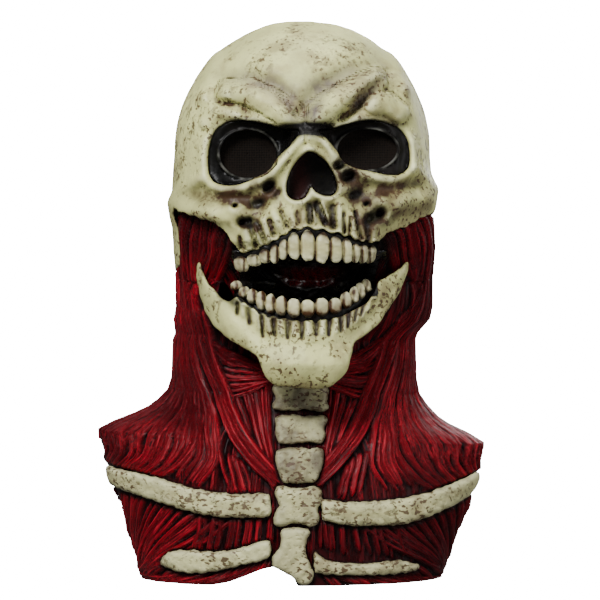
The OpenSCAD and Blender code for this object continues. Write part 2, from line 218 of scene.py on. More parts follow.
class Clay:
    """A grid of signed distances in mm, negative inside, that a form is raised on and carved from."""

    def __init__(self, low, high, step):
        self.step = step
        self.axes = [np.arange(a, b + step, step).astype(np.float32) for a, b in zip(low, high)]
        self.d = np.full([len(a) for a in self.axes], 60, np.float32)

    def xyz(self):
        """The cells' coordinates, each along its own axis."""
        x, y, z = self.axes
        return x[:, None, None], y[None, :, None], z[None, None, :]

    def window(self, low, high):
        """The cells inside a box, and their coordinates."""
        cut = tuple(slice(*np.searchsorted(a, (l, h))) for a, l, h in zip(self.axes, low, high))
        x, y, z = (a[c] for a, c in zip(self.axes, cut))
        return cut, x[:, None, None], y[None, :, None], z[None, None, :]

    def bore(self, points, radii, blend):
        """Carves a tapered hole along a path."""
        p = np.array(points, float)
        reach = max(radii) + blend + 3
        cut, x, y, z = self.window(p.min(0) - reach, p.max(0) + reach)
        dist, share = along(p, x, y, z)
        shape = dist - np.interp(share, (0, 1), radii)
        self.d[cut] = blend_max(self.d[cut], -shape, blend)

    def raise_front(self, amount):
        """Raises the front half of the surface by amount, a grid over the clay's x and z."""
        y = self.axes[1][None, :, None]
        share = 1 - ramp(y, -23, 7)
        self.d -= (amount[:, None, :] * share).astype(np.float32)

    def occupancy(self, reach):
        """Share of the space within reach that is filled: over one half in a hollow, under on a ridge."""
        fill = np.clip(0.5 - self.d / (2 * self.step), 0, 1).astype(np.float32)
        n = max(1, int(round(reach / self.step)))
        for axis in range(3):
            fill = box_mean(fill, axis, n)
        return fill

    def sample(self, grid, points):
        """A grid's value at each point, by linear interpolation."""
        spot, share = [], []
        for axis in range(3):
            f = (points[:, axis] - self.axes[axis][0]) / self.step
            i = np.clip(np.floor(f).astype(int), 0, len(self.axes[axis]) - 2)
            spot.append(i)
            share.append(np.clip(f - i, 0, 1))
        out = 0
        for corner in range(8):
            bits = [(corner >> axis) & 1 for axis in range(3)]
            weight = 1
            for axis in range(3):
                weight = weight * (share[axis] if bits[axis] else 1 - share[axis])
            out = out + weight * grid[tuple(spot[axis] + bits[axis] for axis in range(3))]
        return out

    def mesh(self, field=None, smooth=2):
        """Vertices and quads of the surface where the field is zero (surface nets)."""
        d = self.d if field is None else field
        inside = d < 0
        corners = np.array([(i, j, k) for i in (0, 1) for j in (0, 1) for k in (0, 1)])
        count = sum(inside[tuple(slice(c, c + n - 1) for c, n in zip(corner, d.shape))].astype(np.int8)
                    for corner in corners)
        cells = np.argwhere((count > 0) & (count < 8))
        index = np.full(count.shape, -1, np.int32)
        index[tuple(cells.T)] = np.arange(len(cells))
        total, hits = np.zeros((len(cells), 3)), np.zeros(len(cells))
        value = [d[tuple((cells + c).T)] for c in corners]
        for p in range(8):
            for q in range(p + 1, 8):
                if np.abs(corners[p] - corners[q]).sum() != 1:
                    continue
                cross = (value[p] < 0) != (value[q] < 0)
                t = np.where(cross, value[p] / np.where(cross, value[p] - value[q], 1), 0)
                total += cross[:, None] * (corners[p] + t[:, None] * (corners[q] - corners[p]))
                hits += cross
        low = np.array([a[0] for a in self.axes])
        verts = low + (cells + total / hits[:, None]) * self.step
        quads = []
        for axis in range(3):
            u, v = (axis + 1) % 3, (axis + 2) % 3
            first = [slice(None)] * 3
            second = [slice(None)] * 3
            first[axis], second[axis] = slice(0, -1), slice(1, None)
            a, b = inside[tuple(first)], inside[tuple(second)]
            spots = np.argwhere(a != b)
            ok = (spots[:, u] > 0) & (spots[:, v] > 0)
            for w in (u, v):
                ok &= spots[:, w] < d.shape[w] - 1
            spots = spots[ok]
            step_u, step_v = np.eye(3, dtype=int)[u], np.eye(3, dtype=int)[v]
            ring = [index[tuple((spots - m * step_u - n * step_v).T)]
                    for m, n in ((0, 0), (1, 0), (1, 1), (0, 1))]
            face = np.stack(ring, 1)
            flip = b[tuple(spots.T)]
            face[flip] = face[flip][:, ::-1]
            quads.append(face)
        quads = np.concatenate(quads)
        quads = quads[(quads >= 0).all(1)][:, ::-1]
        for _ in range(smooth):
            verts = relaxed(verts, quads, 0.5)
        return verts, quads


def relaxed(verts, quads, amount):
    """Each vertex moved part of the way to the middle of its neighbours."""
    a = np.concatenate([quads[:, 0], quads[:, 1], quads[:, 2], quads[:, 3]])
    b = np.concatenate([quads[:, 1], quads[:, 2], quads[:, 3], quads[:, 0]])
    near = np.bincount(a, minlength=len(verts)) + np.bincount(b, minlength=len(verts))
    middle = np.stack([
        np.bincount(a, verts[b, k], len(verts)) + np.bincount(b, verts[a, k], len(verts)) for k in range(3)
    ], 1) / np.maximum(near, 1)[:, None]
    return verts + (middle - verts) * amount


def build(name, verts, quads, material, paint=None, crisp=0):
    """A mesh piece from millimetre points, with named float attributes for its material.

    Its last faces, crisp of them, are the flat ones of a cut edge."""
    data = bpy.data.meshes.new(name)
    data.vertices.add(len(verts))
    data.vertices.foreach_set("co", (np.asarray(verts) * MM).astype(np.float32).ravel())
    quads = np.asarray(quads, np.int32)
    sides = quads.shape[1]
    data.loops.add(quads.size)
    data.loops.foreach_set("vertex_index", quads.ravel())
    data.polygons.add(len(quads))
    data.polygons.foreach_set("loop_start", np.arange(0, quads.size, sides, dtype=np.int32))
    data.polygons.foreach_set("use_smooth", np.arange(len(quads)) < len(quads) - crisp)
    data.update(calc_edges=True)
    for key, values in (paint or {}).items():
        attribute = data.attributes.new(key, "FLOAT", "POINT")
        attribute.data.foreach_set("value", np.asarray(values, np.float32).ravel())
    data.materials.append(material)
    piece = bpy.data.objects.new(name, data)
    bpy.context.scene.collection.objects.link(piece)
    return piece


def seat(piece, name, body="mask", band=None):
    """Ties a piece to its body, or with a band only bakes its transform in place, and hides the CAD node it
    stands for.
    """
    if band:
        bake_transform(piece)
    else:
        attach(piece, body)
    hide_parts(name)


# ---------------------------------------------------------------- materials


class Paint:
    """A material being put together: its main shader, and short builders for the nodes that it uses."""

    def __init__(self, name):
        self.made = bpy.data.materials.new(name)
        self.made.use_nodes = True
        self.tree = self.made.node_tree
        self.main = self.tree.nodes["Principled BSDF"]
        self.place = self.node("ShaderNodeTexCoord").outputs["Object"]

    def feed(self, socket, source):
        """Links a node's output, or sets a number or a colour on the socket itself."""
        if isinstance(source, (int, float)):
            socket.default_value = source
        elif isinstance(source, tuple):
            socket.default_value = (*source, 1)
        else:
            self.tree.links.new(source, socket)

    def node(self, kind, links=None, **settings):
        """A new node. A setting s_NAME or s_NUMBER is a socket's value, any other is the node's own."""
        added = self.tree.nodes.new(kind)
        for key, value in settings.items():
            if key.startswith("s_"):
                slot = key[2:]
                added.inputs[int(slot) if slot.isdigit() else slot].default_value = value
            else:
                setattr(added, key, value)
        for slot, source in (links or {}).items():
            self.feed(added.inputs[slot], source)
        return added

    def noise(self, scale, detail=4.0, rough=0.55, stretch=None, distort=0.0, place=None):
        """Noise at the point in the object's frame, or at the place given."""
        source = place or self.place
        if stretch:
            source = self.node("ShaderNodeMapping", {0: source}, s_Scale=stretch).outputs[0]
        return self.node("ShaderNodeTexNoise", {"Vector": source}, s_Scale=scale, s_Detail=detail,
                         s_Roughness=rough, s_Distortion=distort).outputs["Fac"]

    def painted(self, name):
        """One of the float attributes that the mesh carries."""
        return self.node("ShaderNodeAttribute", attribute_name=name).outputs["Fac"]

    def span(self, source, low, high, to_low=0.0, to_high=1.0):
        """The source's range from low to high, mapped smoothly to another range."""
        return self.node("ShaderNodeMapRange", {0: source}, interpolation_type="SMOOTHSTEP",
                         s_1=low, s_2=high, s_3=to_low, s_4=to_high).outputs[0]

    def maths(self, kind, a, b):
        """Two sources put together: ADD, SUBTRACT, MULTIPLY or MAXIMUM."""
        return self.node("ShaderNodeMath", {0: a, 1: b}, operation=kind).outputs[0]

    def times(self, a, b):
        """The product of two sources."""
        return self.maths("MULTIPLY", a, b)

    def mix(self, share, a, b):
        """Colour a turning into colour b by share."""
        return self.node("ShaderNodeMix", {0: share, 6: a, 7: b}, data_type="RGBA").outputs[2]

    def finish(self, colour, roughness, specular, height, strength, distance):
        """Feeds the main shader, with a bump from height, and gives the material."""
        bump = self.node("ShaderNodeBump", {"Height": height}, s_Strength=strength, s_Distance=distance)
        for name, source in (("Base Color", colour), ("Roughness", roughness),
                             ("Specular IOR Level", specular), ("Normal", bump.outputs[0])):
            self.feed(self.main.inputs[name], source)
        return self.made


def bone_paint(name, base=(0.66, 0.665, 0.275), pale=(0.92, 0.93, 0.52), brown=(0.050, 0.024, 0.009),
               grey=(0.150, 0.122, 0.112), dirt=0.0, grain=None):
    """Cream latex: pale on ridges, brown wash in hollows, dark flecks (more with dirt), black where painted
    black or where shade is painted.
    """
    p = Paint(name)
    hollow, ridge, soot, stain = (p.painted(k) for k in ("hollow", "ridge", "soot", "stain"))
    broad = p.noise(14, 3)
    bright, dull = (tuple(c * share for c in base) for share in (1.26, 0.84))
    colour = p.mix(p.span(broad, 0.36, 0.64), bright, dull)
    colour = p.mix(p.span(p.noise(30, 5, 0.6), 0.47, 0.66, 0, 0.55), colour, (0.38, 0.32, 0.14))
    colour = p.mix(p.times(ridge, 0.9), colour, pale)
    colour = p.mix(p.times(p.span(p.noise(60, 5), 0.3, 0.7, 0.45, 1.0), stain), colour, grey)
    wash = p.times(hollow, p.span(p.noise(90, 4), 0.25, 0.7, 0.35, 1.25))
    colour = p.mix(wash, colour, brown)
    # Flecks gather where a broad noise lets them
    patches = p.span(p.noise(21, 4, 0.6), 0.45 - 2 * dirt, 0.57 - 2 * dirt, 0.06, 1.0)
    fleck = p.times(p.span(p.noise(300, 2, 0.5, stretch=grain), 0.57 - dirt, 0.62 - dirt), patches)
    smear = p.times(p.span(p.noise(95, 6, 0.72, distort=0.5), 0.56, 0.62),
                    p.span(p.noise(17, 3), 0.46, 0.59))
    grime = p.times(p.span(p.noise(42, 6, 0.7), 0.48, 0.64, 0, 0.45), patches)
    marks = p.maths("MAXIMUM", fleck, smear) if dirt >= 0 else p.times(fleck, 0.3)
    colour = p.mix(grime, colour, (0.16, 0.10, 0.045))
    colour = p.mix(p.times(marks, 0.88), colour, (0.075, 0.036, 0.015))
    # Near black: black paint, and painted shade where the mesh marks it
    colour = p.mix(soot, colour, (0.006, 0.005, 0.0045))
    grit = p.times(p.noise(420, 3, 0.7), 0.25)
    height = p.maths("SUBTRACT", p.maths("ADD", p.noise(150, 5, 0.6), grit), p.times(marks, 0.45))
    return p.finish(colour, p.span(broad, 0.3, 0.7, 0.46, 0.60), 0.35, height, 0.6, 0.0012)


def flesh_paint(name):
    """Muscle: maroon to black in the grooves, blood red on the strands, with brushed streaks along them."""
    p = Paint(name)
    groove, ridge, tone, across, run, soot = (
        p.painted(k) for k in ("groove", "ridge", "tone", "across", "run", "soot"))

    def fibres(width, length):
        """Noise drawn out along the strands, from their own coordinates in mm."""
        parts = {0: p.times(across, 1 / width), 1: p.times(run, 1 / length), 2: p.times(tone, 40)}
        place = p.node("ShaderNodeCombineXYZ", parts).outputs[0]
        return p.noise(1.0, 2.0, 0.6, distort=0.3, place=place)

    coarse, fine = fibres(2.6, 42), fibres(1.0, 26)
    lit = p.times(p.span(coarse, 0.36, 0.64), p.span(p.noise(45, 4), 0.3, 0.65, 0.55, 1.0))
    colour = p.mix(p.span(tone, 0, 1), (0.075, 0.0008, 0.0035), (0.150, 0.0016, 0.0065))
    colour = p.mix(p.times(lit, 0.7), colour, (0.30, 0.0030, 0.0110))
    colour = p.mix(p.times(ridge, 0.35), colour, (0.42, 0.006, 0.018))
    colour = p.mix(p.span(fine, 0.53, 0.66, 0, 0.8), colour, (0.52, 0.014, 0.030))
    colour = p.mix(p.span(fine, 0.34, 0.48, 0.95, 0.0), colour, (0.014, 0.0004, 0.0010))
    colour = p.mix(p.span(p.noise(10, 3, 0.5), 0.46, 0.62, 0, 0.62), colour, (0.028, 0.0006, 0.0018))
    colour = p.mix(groove, colour, (0.008, 0.0006, 0.0012))
    # Near black where the mesh marks it: black paint, and painted shadow round the bones and inside the skins
    colour = p.mix(soot, colour, (0.006, 0.004, 0.004))
    height = p.maths("ADD", p.times(fine, 0.7), p.times(coarse, 1.4))
    return p.finish(colour, p.span(coarse, 0.3, 0.7, 0.50, 0.36), 0.17, height, 0.9, 0.0011)


def black_paint(name, rough, gloss):
    """Black latex: dark red where painted red, grey on the rims of the see-through openings as a painted
    highlight.
    """
    p = Paint(name)
    colour = p.mix(p.span(p.noise(40, 4), 0.4, 0.7), (0.0030, 0.0028, 0.0025), (0.0075, 0.0060, 0.0050))
    colour = p.mix(p.painted("red"), colour, (0.085, 0.0022, 0.0035))
    # Painted highlight: grey on the rim of each opening, broken up by noise
    rim_highlight = p.times(p.painted("rim_highlight"), p.span(p.noise(60, 3), 0.42, 0.62, 0.0, 0.7))
    colour = p.mix(rim_highlight, colour, (0.16, 0.16, 0.14))
    roughness = p.span(p.noise(80, 3), 0.3, 0.7, rough, rough + 0.15)
    return p.finish(colour, roughness, gloss, p.noise(120, 4), 0.35, 0.0015)


def screen_paint(name):
    """Perforated screen: a grid of small holes with a dark red-brown weave between them."""
    p = Paint(name)
    flat = p.node("ShaderNodeMapping", {0: p.place}, s_Rotation=(math.pi / 2, 0, 0)).outputs[0]
    cells = p.node("ShaderNodeTexVoronoi", {"Vector": flat}, s_Scale=520, s_Randomness=0.15)
    cells = cells.outputs["Distance"]
    colour = p.mix(p.span(cells, 0.2, 0.5), (0.0008, 0.0007, 0.0006), (0.009, 0.0058, 0.0038))
    return p.finish(colour, 0.6, 0.08, cells, 0.6, 0.0004)


def foam_paint(name):
    """Dark grey foam with fine pores."""
    p = Paint(name)
    pores = p.noise(900, 2, 0.6)
    colour = p.mix(p.span(pores, 0.4, 0.6), (0.018, 0.018, 0.020), (0.060, 0.060, 0.066))
    return p.finish(colour, 0.95, 0.5, pores, 0.7, 0.0010)


BONE = bone_paint("bone_latex")
CHEST_BONE = bone_paint("chest_bone_latex", base=(0.62, 0.60, 0.27), pale=(0.86, 0.85, 0.48),
                        grey=(0.145, 0.125, 0.080), dirt=0.025, grain=(0.75, 1, 1.3))
JAW_BONE = bone_paint("jaw_bone_latex", dirt=0.015)
TOOTH = bone_paint("tooth_latex", base=(0.60, 0.575, 0.27), pale=(0.95, 0.94, 0.58),
                   brown=(0.070, 0.028, 0.007), dirt=-0.12)
FLESH = flesh_paint("muscle_latex")
BLACK = black_paint("black_latex", rough=0.34, gloss=0.15)
WET = black_paint("wet_black_latex", rough=0.16, gloss=0.6)
SCREEN = screen_paint("eye_mesh")
FOAM = foam_paint("foam_pad")

# ---------------------------------------------------------------- the skull

SKULL_R = 106          # radius of the muzzle, for turning an x on it into an angle
MUZZLE_TURN = 31.5     # the muzzle's half angle: its lower border is the gum line
RIM_Y, RIM_R = -79.5, 1.3      # the raised rim round each see-through opening
CUT_Y = -68            # sockets and nose are cut out of the bone in front of this

# Outlines in the front view, x and z in mm
LEFT_SOCKET = [(-7, 355), (-19, 356.5), (-29, 359.5), (-41, 362), (-53, 363), (-62, 361), (-69.5, 356),
               (-73.5, 348), (-75.5, 339), (-76, 330), (-75, 322), (-72, 316.5), (-66, 314), (-57, 313.5),
               (-46, 316.5), (-36.5, 322.5), (-27, 331), (-17, 341), (-9, 350.5)]
RIGHT_SOCKET = [(9, 355), (19, 356.5), (29, 359.5), (41, 362.5), (53, 363), (64, 360.5), (73, 356),
                (79, 347.5), (80.5, 337), (79.5, 328), (75, 323), (65, 321.5), (53, 323.5), (41, 326.5),
                (31.5, 331.5), (23, 340), (15, 349.5)]
NOSE = [(2, 339), (-6, 334), (-12, 326), (-16, 315), (-15.5, 306), (-10, 302), (-3.5, 303), (0.5, 308),
        (3, 312.5), (6, 308.5), (13, 305.5), (20, 306), (23, 312), (20, 322), (13, 332)]
PUPILS = [((-45.5, 337.4), (23.0, 19.4)), ((47.3, 341.0), (24.2, 16.4))]


def leaning(points):
    """The same points on the tilted face."""
    return [(x, z + ROLL * x) for x, z in points]


def both(points, width, height):
    """One mark and its mirror image."""
    return [(leaning([(side * x, z) for x, z in points]), width, height) for side in (-1, 1)]


def relief(x, z, marks, plump=2.0):
    """Sum of soft ridges (height above 0) and grooves: marks are (points, width, height) in the front view.

    A width or a height can be a pair, from the path's start to its end."""
    total = 0
    for points, width, height in marks:
        gap, share = along(points, x, z)
        if isinstance(width, tuple):
            width = width[0] + (width[1] - width[0]) * share
        if isinstance(height, tuple):
            height = height[0] + (height[1] - height[0]) * np.minimum(share * 2, 1)
        total = total + height * np.exp(-((gap / width) ** plump))
    return total


SOCKET_LOOPS = [rounded(points) for points in (LEFT_SOCKET, RIGHT_SOCKET)]
NOSE_LOOP = rounded(NOSE)

# Each tooth: its middle across the mouth, the level it leaves the gum, the level of its tip
UPPER_ROW = [(-54, 257, 246.5), (-44, 258.8, 251.2), (-34.4, 262.8, 253.6), (-27, 266.6, 253.8),
             (-20.5, 270.6, 256.6), (-12.2, 275.6, 256.8), (-0.4, 277.6, 255.6), (11.6, 275.6, 254.2),
             (23.4, 272.8, 254.2), (32.8, 270.6, 253.8), (39.6, 267.2, 254.2), (45.6, 266.8, 253.8),
             (52.4, 265.6, 253.4)]
LOWER_ROW = [(-57.6, 231, 237.6), (-51.6, 225.5, 233.4), (-44.9, 221.5, 231.6), (-37.4, 216.5, 230),
             (-30.4, 213.8, 227.8), (-22, 212.6, 226.2), (-11.4, 211.4, 224.6), (0.4, 211.6, 223.8),
             (12, 212.2, 224.8), (23.4, 214, 224.6), (33.4, 218, 229.4), (39.4, 221.6, 233.2),
             (44.6, 225.4, 236.2), (49.6, 230, 239)]


def gum_line(teeth, lift, point):
    """Edge of the bone along a row of teeth: an arch over each tooth, and a point between two."""
    line = []
    for (x, gum, _), (next_x, next_gum, _) in zip(teeth, teeth[1:]):
        line += [(x, gum + lift), ((x + next_x) / 2, (gum + next_gum) / 2 + lift - point)]
    return rounded(line + [(teeth[-1][0], teeth[-1][1] + lift)], 6, closed=False)


UPPER_EDGE = gum_line(UPPER_ROW, 3.4, 2.0)
LOWER_EDGE = gum_line(LOWER_ROW, -3.0, -1.8)


def gum_top(x):
    """Level of the upper gum line."""
    return np.interp(x, UPPER_EDGE[:, 0], UPPER_EDGE[:, 1])


def gum_bottom(x):
    """Level of the lower gum line."""
    return np.interp(x, LOWER_EDGE[:, 0], LOWER_EDGE[:, 1])


# What is raised or pressed into the face: path, width and height (below 0 for a groove)
FORMS = (
    both([(60, 300), (80, 298), (98, 297)], 11, 8.0)             # cheekbones
    + both([(94, 313), (66, 305), (44, 307)], 6.5, (0.0, -4.5))  # hollow under the socket rim
    + both([(72, 292), (60, 285)], 6, 3.0)
    + [([(-44, 272), (-22, 284), (4, 287), (26, 285), (46, 277)], 15, 5.5)]   # tooth-bearing bulge
    + both([(39, 296)], 8, -4.0)
    + [([(-1, 355), (0, 341)], 8.5, 9.5)]                        # nasal bridge
    + both([(8, 353), (16, 338), (24, 324), (30, 308)], 5.5, 4.5)
    + both([(14, 346), (24, 330), (31, 316)], 3.0, 1.2)
    + [([(-68, 396), (-44, 397), (-22, 389), (-7, 371)], 7.0, (-1.5, -6.0))]   # frown creases
    + [([(56, 408), (32, 401), (14, 391), (2, 380), (-4, 369)], 7.0, (-1.5, -6.5))]
    + [([(66, 402), (50, 387), (39, 376), (29, 366)], 4.5, (-1.5, -7.5))]
    + [([(-78, 382), (-62, 377), (-46, 369)], 3.0, (0.0, -3.0))]
    + both([(79, 384), (84, 366), (85, 345), (84, 325)], 7.5, 3.0)   # pillars outside the sockets
    + both([(80, 386), (76, 404), (70, 420)], 6, 2.6)
    + both([(86, 321), (106, 305)], 5.5, 4.0)
    + [([(-17, 355.5), (-2, 357.5), (14, 356.5)], 4.8, -8.0)]         # fold above the bridge
    + [([(-30, 410)], 24, 2.0), ([(34, 418)], 24, 2.0), ([(-2, 357), (-2, 345)], 1.4, -3.0)]
)
# Pits of the cheekbones: x, z, half width and half height
PITS = [(-30.5, 314, 4.6, 5.4), (-38, 300.5, 7.4, 4.4), (-46.5, 286.5, 7.2, 4.8), (25.5, 328, 4.2, 4.6),
        (31.5, 318, 6.4, 5.4), (38, 303, 6.6, 5.0), (53, 286.5, 9.0, 6.4), (-56, 300, 1.8, 1.5),
        (46, 296, 2.4, 1.8)]
# Brow cords: path, half widths at both ends, height
BROWS = [([(-60, 386), (-46, 386), (-29, 378), (-14, 368)], (11.0, 13.0), 8.5),
         ([(55, 396), (41, 389), (24, 379), (9, 369)], (10.5, 13.0), 9.0),
         ([(53, 378), (63, 377), (73, 370)], (11.0, 9.5), 8.0),
         ([(-78, 362), (-72, 370), (-56, 371)], (6.5, 7.0), 4.0)]


def cords(x, z, marks):
    """The highest of several rounded cords laid on the face; they meet in a crease."""
    best = 0
    for points, width, height in marks:
        gap, share = along(points, x, z)
        half = width[0] + (width[1] - width[0]) * share
        best = np.maximum(best, height * np.clip(1 - (gap / half) ** 2, 0, 1) ** 0.75)
    return best


def pit_marks(height):
    """Each pit as two uneven lobes, so that its outline is irregular."""
    rng = np.random.default_rng(17)
    marks = []
    for x, z, wide, tall in PITS:
        for side in (-1, 1):
            shift = rng.uniform(-0.2, 0.2, 2) * (wide, tall)
            spot = (x + side * wide * 0.42 + shift[0], z + ROLL * x + side * tall * 0.2 + shift[1])
            tip = (spot[0] + side * 0.6, spot[1] + 1.0)
            marks.append(([spot, tip], tall * rng.uniform(0.8, 1.1), height))
    return marks


# Pockets between the tooth roots, from the gum outwards, and the ridges beside them
UPPER_POCKETS = [
    ([(1.5, 284.5), (1, 297)], (2.6, 3.2), -4.5),
    ([(13.5, 284), (9.5, 292), (6.5, 298)], (2.8, 3.4), -5.0),
    ([(19.8, 281.5), (18.5, 296)], (2.6, 3.2), -4.5),
    ([(-7, 284), (-8, 291)], (1.6, 2.2), -2.5),
    ([(-16, 281), (-21, 293)], (1.4, 1.8), -3.0),
    ([(-26.5, 275), (-30, 286)], (1.8, 2.0), -3.4),
    ([(-33.5, 269), (-39, 284)], (1.8, 2.2), -3.6),
    ([(-39.5, 265), (-44, 281)], (1.8, 2.4), -3.6),
    ([(28.5, 276), (28, 291)], (1.2, 1.5), -3.0),
    ([(32, 275), (33, 288)], (1.0, 1.3), -2.6),
    ([(41.5, 272), (39, 282), (37, 292)], (1.8, 1.6), -3.6),
    ([(47.5, 270), (46, 284)], (2.2, 2.6), -4.0),
    ([(-51, 264), (-52.5, 272)], (1.8, 1.6), -2.6),
    ([(-22, 309), (-25, 304)], (1.6, 2.0), -2.4),
]
UPPER_RIDGES = [
    ([(-46, 263), (-47.5, 279)], 3.2, 2.2),
    ([(-36, 268), (-41, 281)], 2.0, 1.4),
    ([(-30, 272), (-34, 287)], 2.4, 1.8),
    ([(-21, 279), (-27, 292)], 2.8, 2.0),
    ([(-11, 281), (-13, 293)], 3.0, 2.0),
    ([(5, 284), (4, 299)], 1.3, 2.6),
    ([(16, 283), (14, 292), (11, 300)], 1.3, 2.6),
    ([(25, 277), (24.5, 299)], 2.6, 2.4),
    ([(36, 274), (34.5, 292)], 2.2, 2.0),
    ([(52, 268), (51, 280)], 2.4, 2.0),
]
LOWER_POCKETS = [
    ([(-53.5, 221), (-54, 213)], (1.6, 1.2), -3.4),
    ([(-45.5, 217), (-44.5, 206)], (2.2, 1.4), -3.6),
    ([(-35.5, 212), (-34.5, 196)], (2.0, 1.0), -3.6),
    ([(-26, 209), (-25.5, 197)], (2.4, 1.2), -3.8),
    ([(-15, 208), (-15.5, 195)], (2.8, 1.2), -4.2),
    ([(-4.4, 208), (-4.4, 195)], (2.6, 1.2), -4.2),
    ([(6.6, 208), (6.6, 198)], (2.8, 1.6), -4.0),
    ([(17, 209), (16.4, 197)], (2.4, 1.2), -3.8),
    ([(26, 211), (26, 200)], (2.2, 1.2), -3.4),
    ([(32.5, 214), (31.5, 203)], (1.8, 1.0), -3.0),
    ([(39, 219), (37, 208)], (1.4, 0.9), -2.6),
    ([(44.5, 222), (42, 212)], (1.4, 0.9), -2.4),
]
LOWER_RIDGES = [([(x, gum - 4), (x * 0.96, gum - 14)], (2.8, 1.6), 1.8) for x, gum, _ in LOWER_ROW]


# The skull's lower edge by angle from the face, on the viewer's left and right
LEFT_BORDER = [(31.5, 262), (34, 268), (37, 277), (41, 284), (50, 288), (60, 291), (66, 294), (69.5, 289),
               (72, 262), (77, 248), (90, 243), (106, 243), (118, 238), (180, 238)]
RIGHT_BORDER = [(31.5, 269), (36, 275), (41, 278), (47, 280), (57, 286), (70, 290), (84, 289), (91, 284),
                (97, 252), (106, 245), (118, 238), (180, 238)]


def skull_border(angle):
    """Lower edge of the bone, level by angle from the face."""
    a = np.abs(angle)
    level = np.where(angle < 0, row(a, LEFT_BORDER), row(a, RIGHT_BORDER))
    x = np.sin(np.radians(angle)) * SKULL_R
    ragged = 0.5 * np.sin(a * 0.9) + 0.35 * np.sin(a * 2.3 + 1)
    return np.where(a < MUZZLE_TURN, gum_top(x), level + ragged)


def head_clay(step):
    """The plain head: the body surface, closed by its dome."""
    clay = Clay((-113, -122, 232), (113, 119, 449), step)
    x, y, z = clay.xyz()
    dome = (np.maximum(z - DOME_Z, 0) / (DOME_H - 1)) ** 2
    across = (np.abs(x) / row(z, WIDTHS)) ** POWER
    deep = (np.abs(y) / np.where(y < 0, row(z, FRONTS), row(z, BACKS))) ** POWER
    # An ellipsoid above dome level, a prism of level sections below it
    size = np.sqrt((across + deep) ** (2 / POWER) + dome)
    reach = np.sqrt(x * x + y * y + np.maximum(z - DOME_Z, 0) ** 2)
    clay.d = (reach * (1 - 1 / np.maximum(size, 0.05))).astype(np.float32)
    return clay


def sculpt_skull(step):
    """The solid skull with its face, sockets, nose and pits."""
    clay = head_clay(step)
    x, _, z = clay.xyz()
    flat_x, flat_z = x[:, :, 0], z[0, :, :]
    form = relief(flat_x, flat_z, FORMS) + cords(flat_x, flat_z, BROWS)
    form = form + relief(flat_x, flat_z, UPPER_RIDGES) + relief(flat_x, flat_z, UPPER_POCKETS, plump=2.4)
    for loop in SOCKET_LOOPS:
        rim = loop_distance(loop, flat_x, flat_z)
        under = 1 - ramp(flat_z, 345, 362)
        form = form + (0.2 + 4.2 * under) * np.exp(-(((rim - 4.6) / 4.2) ** 2))
    rim = loop_distance(NOSE_LOOP, flat_x, flat_z)
    form = form + 2.6 * np.exp(-(((rim - 2.2) / 2.4) ** 2))
    edge = flat_z - gum_top(flat_x)
    form = form + 2.2 * np.exp(-(((edge - 1.4) / 1.7) ** 2)) * (np.abs(flat_x) < 57)
    clay.raise_front(form)
    x, y, z = clay.xyz()
    clay.d -= (mixed(3, x, y, z, scale=46, octaves=3) * 0.9).astype(np.float32)
    for (spot, _), width, _ in pit_marks(1.0):
        px, pz = spot
        r = body_r(math.degrees(math.asin(px / SKULL_R)), pz)
        py = -math.sqrt(max(r * r - px * px, 0))
        clay.bore([(px, py - 6, pz), (px, py + 4.5, pz)], (width, width * 0.45), 3.4)
    carve_openings(clay)
    return clay


def carve_openings(clay):
    """Sinks the sockets and the nose as pits with sloping floors."""
    x, y, z = clay.xyz()
    flat_x, flat_z = x[:, :, 0], z[0, :, :]
    for loop in SOCKET_LOOPS:
        loop2d = loop_distance(loop, flat_x, flat_z)[:, None, :]
        floor = -76 - 22 * (1 - ramp(np.abs(x), 6, 21)) - 0.35 * np.clip(loop2d + 14, 0, 14)
        pit = blend_max(loop2d, y - floor, 5.0)
        clay.d = blend_max(clay.d, -pit, 2.2).astype(np.float32)
    nose2d = loop_distance(NOSE_LOOP, flat_x, flat_z)[:, None, :]
    pit = blend_max(nose2d, y + 89, 3.0)
    clay.d = blend_max(clay.d, -pit, 1.8).astype(np.float32)


def ellipse_distance(centre, half, x, z):
    """Roughly the distance to an ellipse in the front view."""
    u, v = (x - centre[0]) / half[0], (z - centre[1]) / half[1]
    q = np.sqrt(u * u + v * v)
    return (q - 1) * (half[0] + half[1]) / 2


def bone_marks(clay, verts, extra=None):
    """Paint for bone: hollow, ridge, black (black paint and painted shade) and stain at each vertex."""
    near, wide = clay.occupancy(2.6), clay.occupancy(7.0)
    n, w = clay.sample(near, verts), clay.sample(wide, verts)
    hollow = np.clip(ramp(n, 0.55, 0.72) * 0.8 + ramp(w, 0.56, 0.74) * 0.75, 0, 1)
    ridge = np.clip(ramp(-n, -0.47, -0.34) * 0.7 + ramp(-w, -0.42, -0.28) * 0.5, 0, 1)
    marks = {"hollow": hollow, "ridge": ridge, "soot": np.zeros(len(verts)), "stain": np.zeros(len(verts))}
    if extra:
        extra(verts, marks)
    return marks


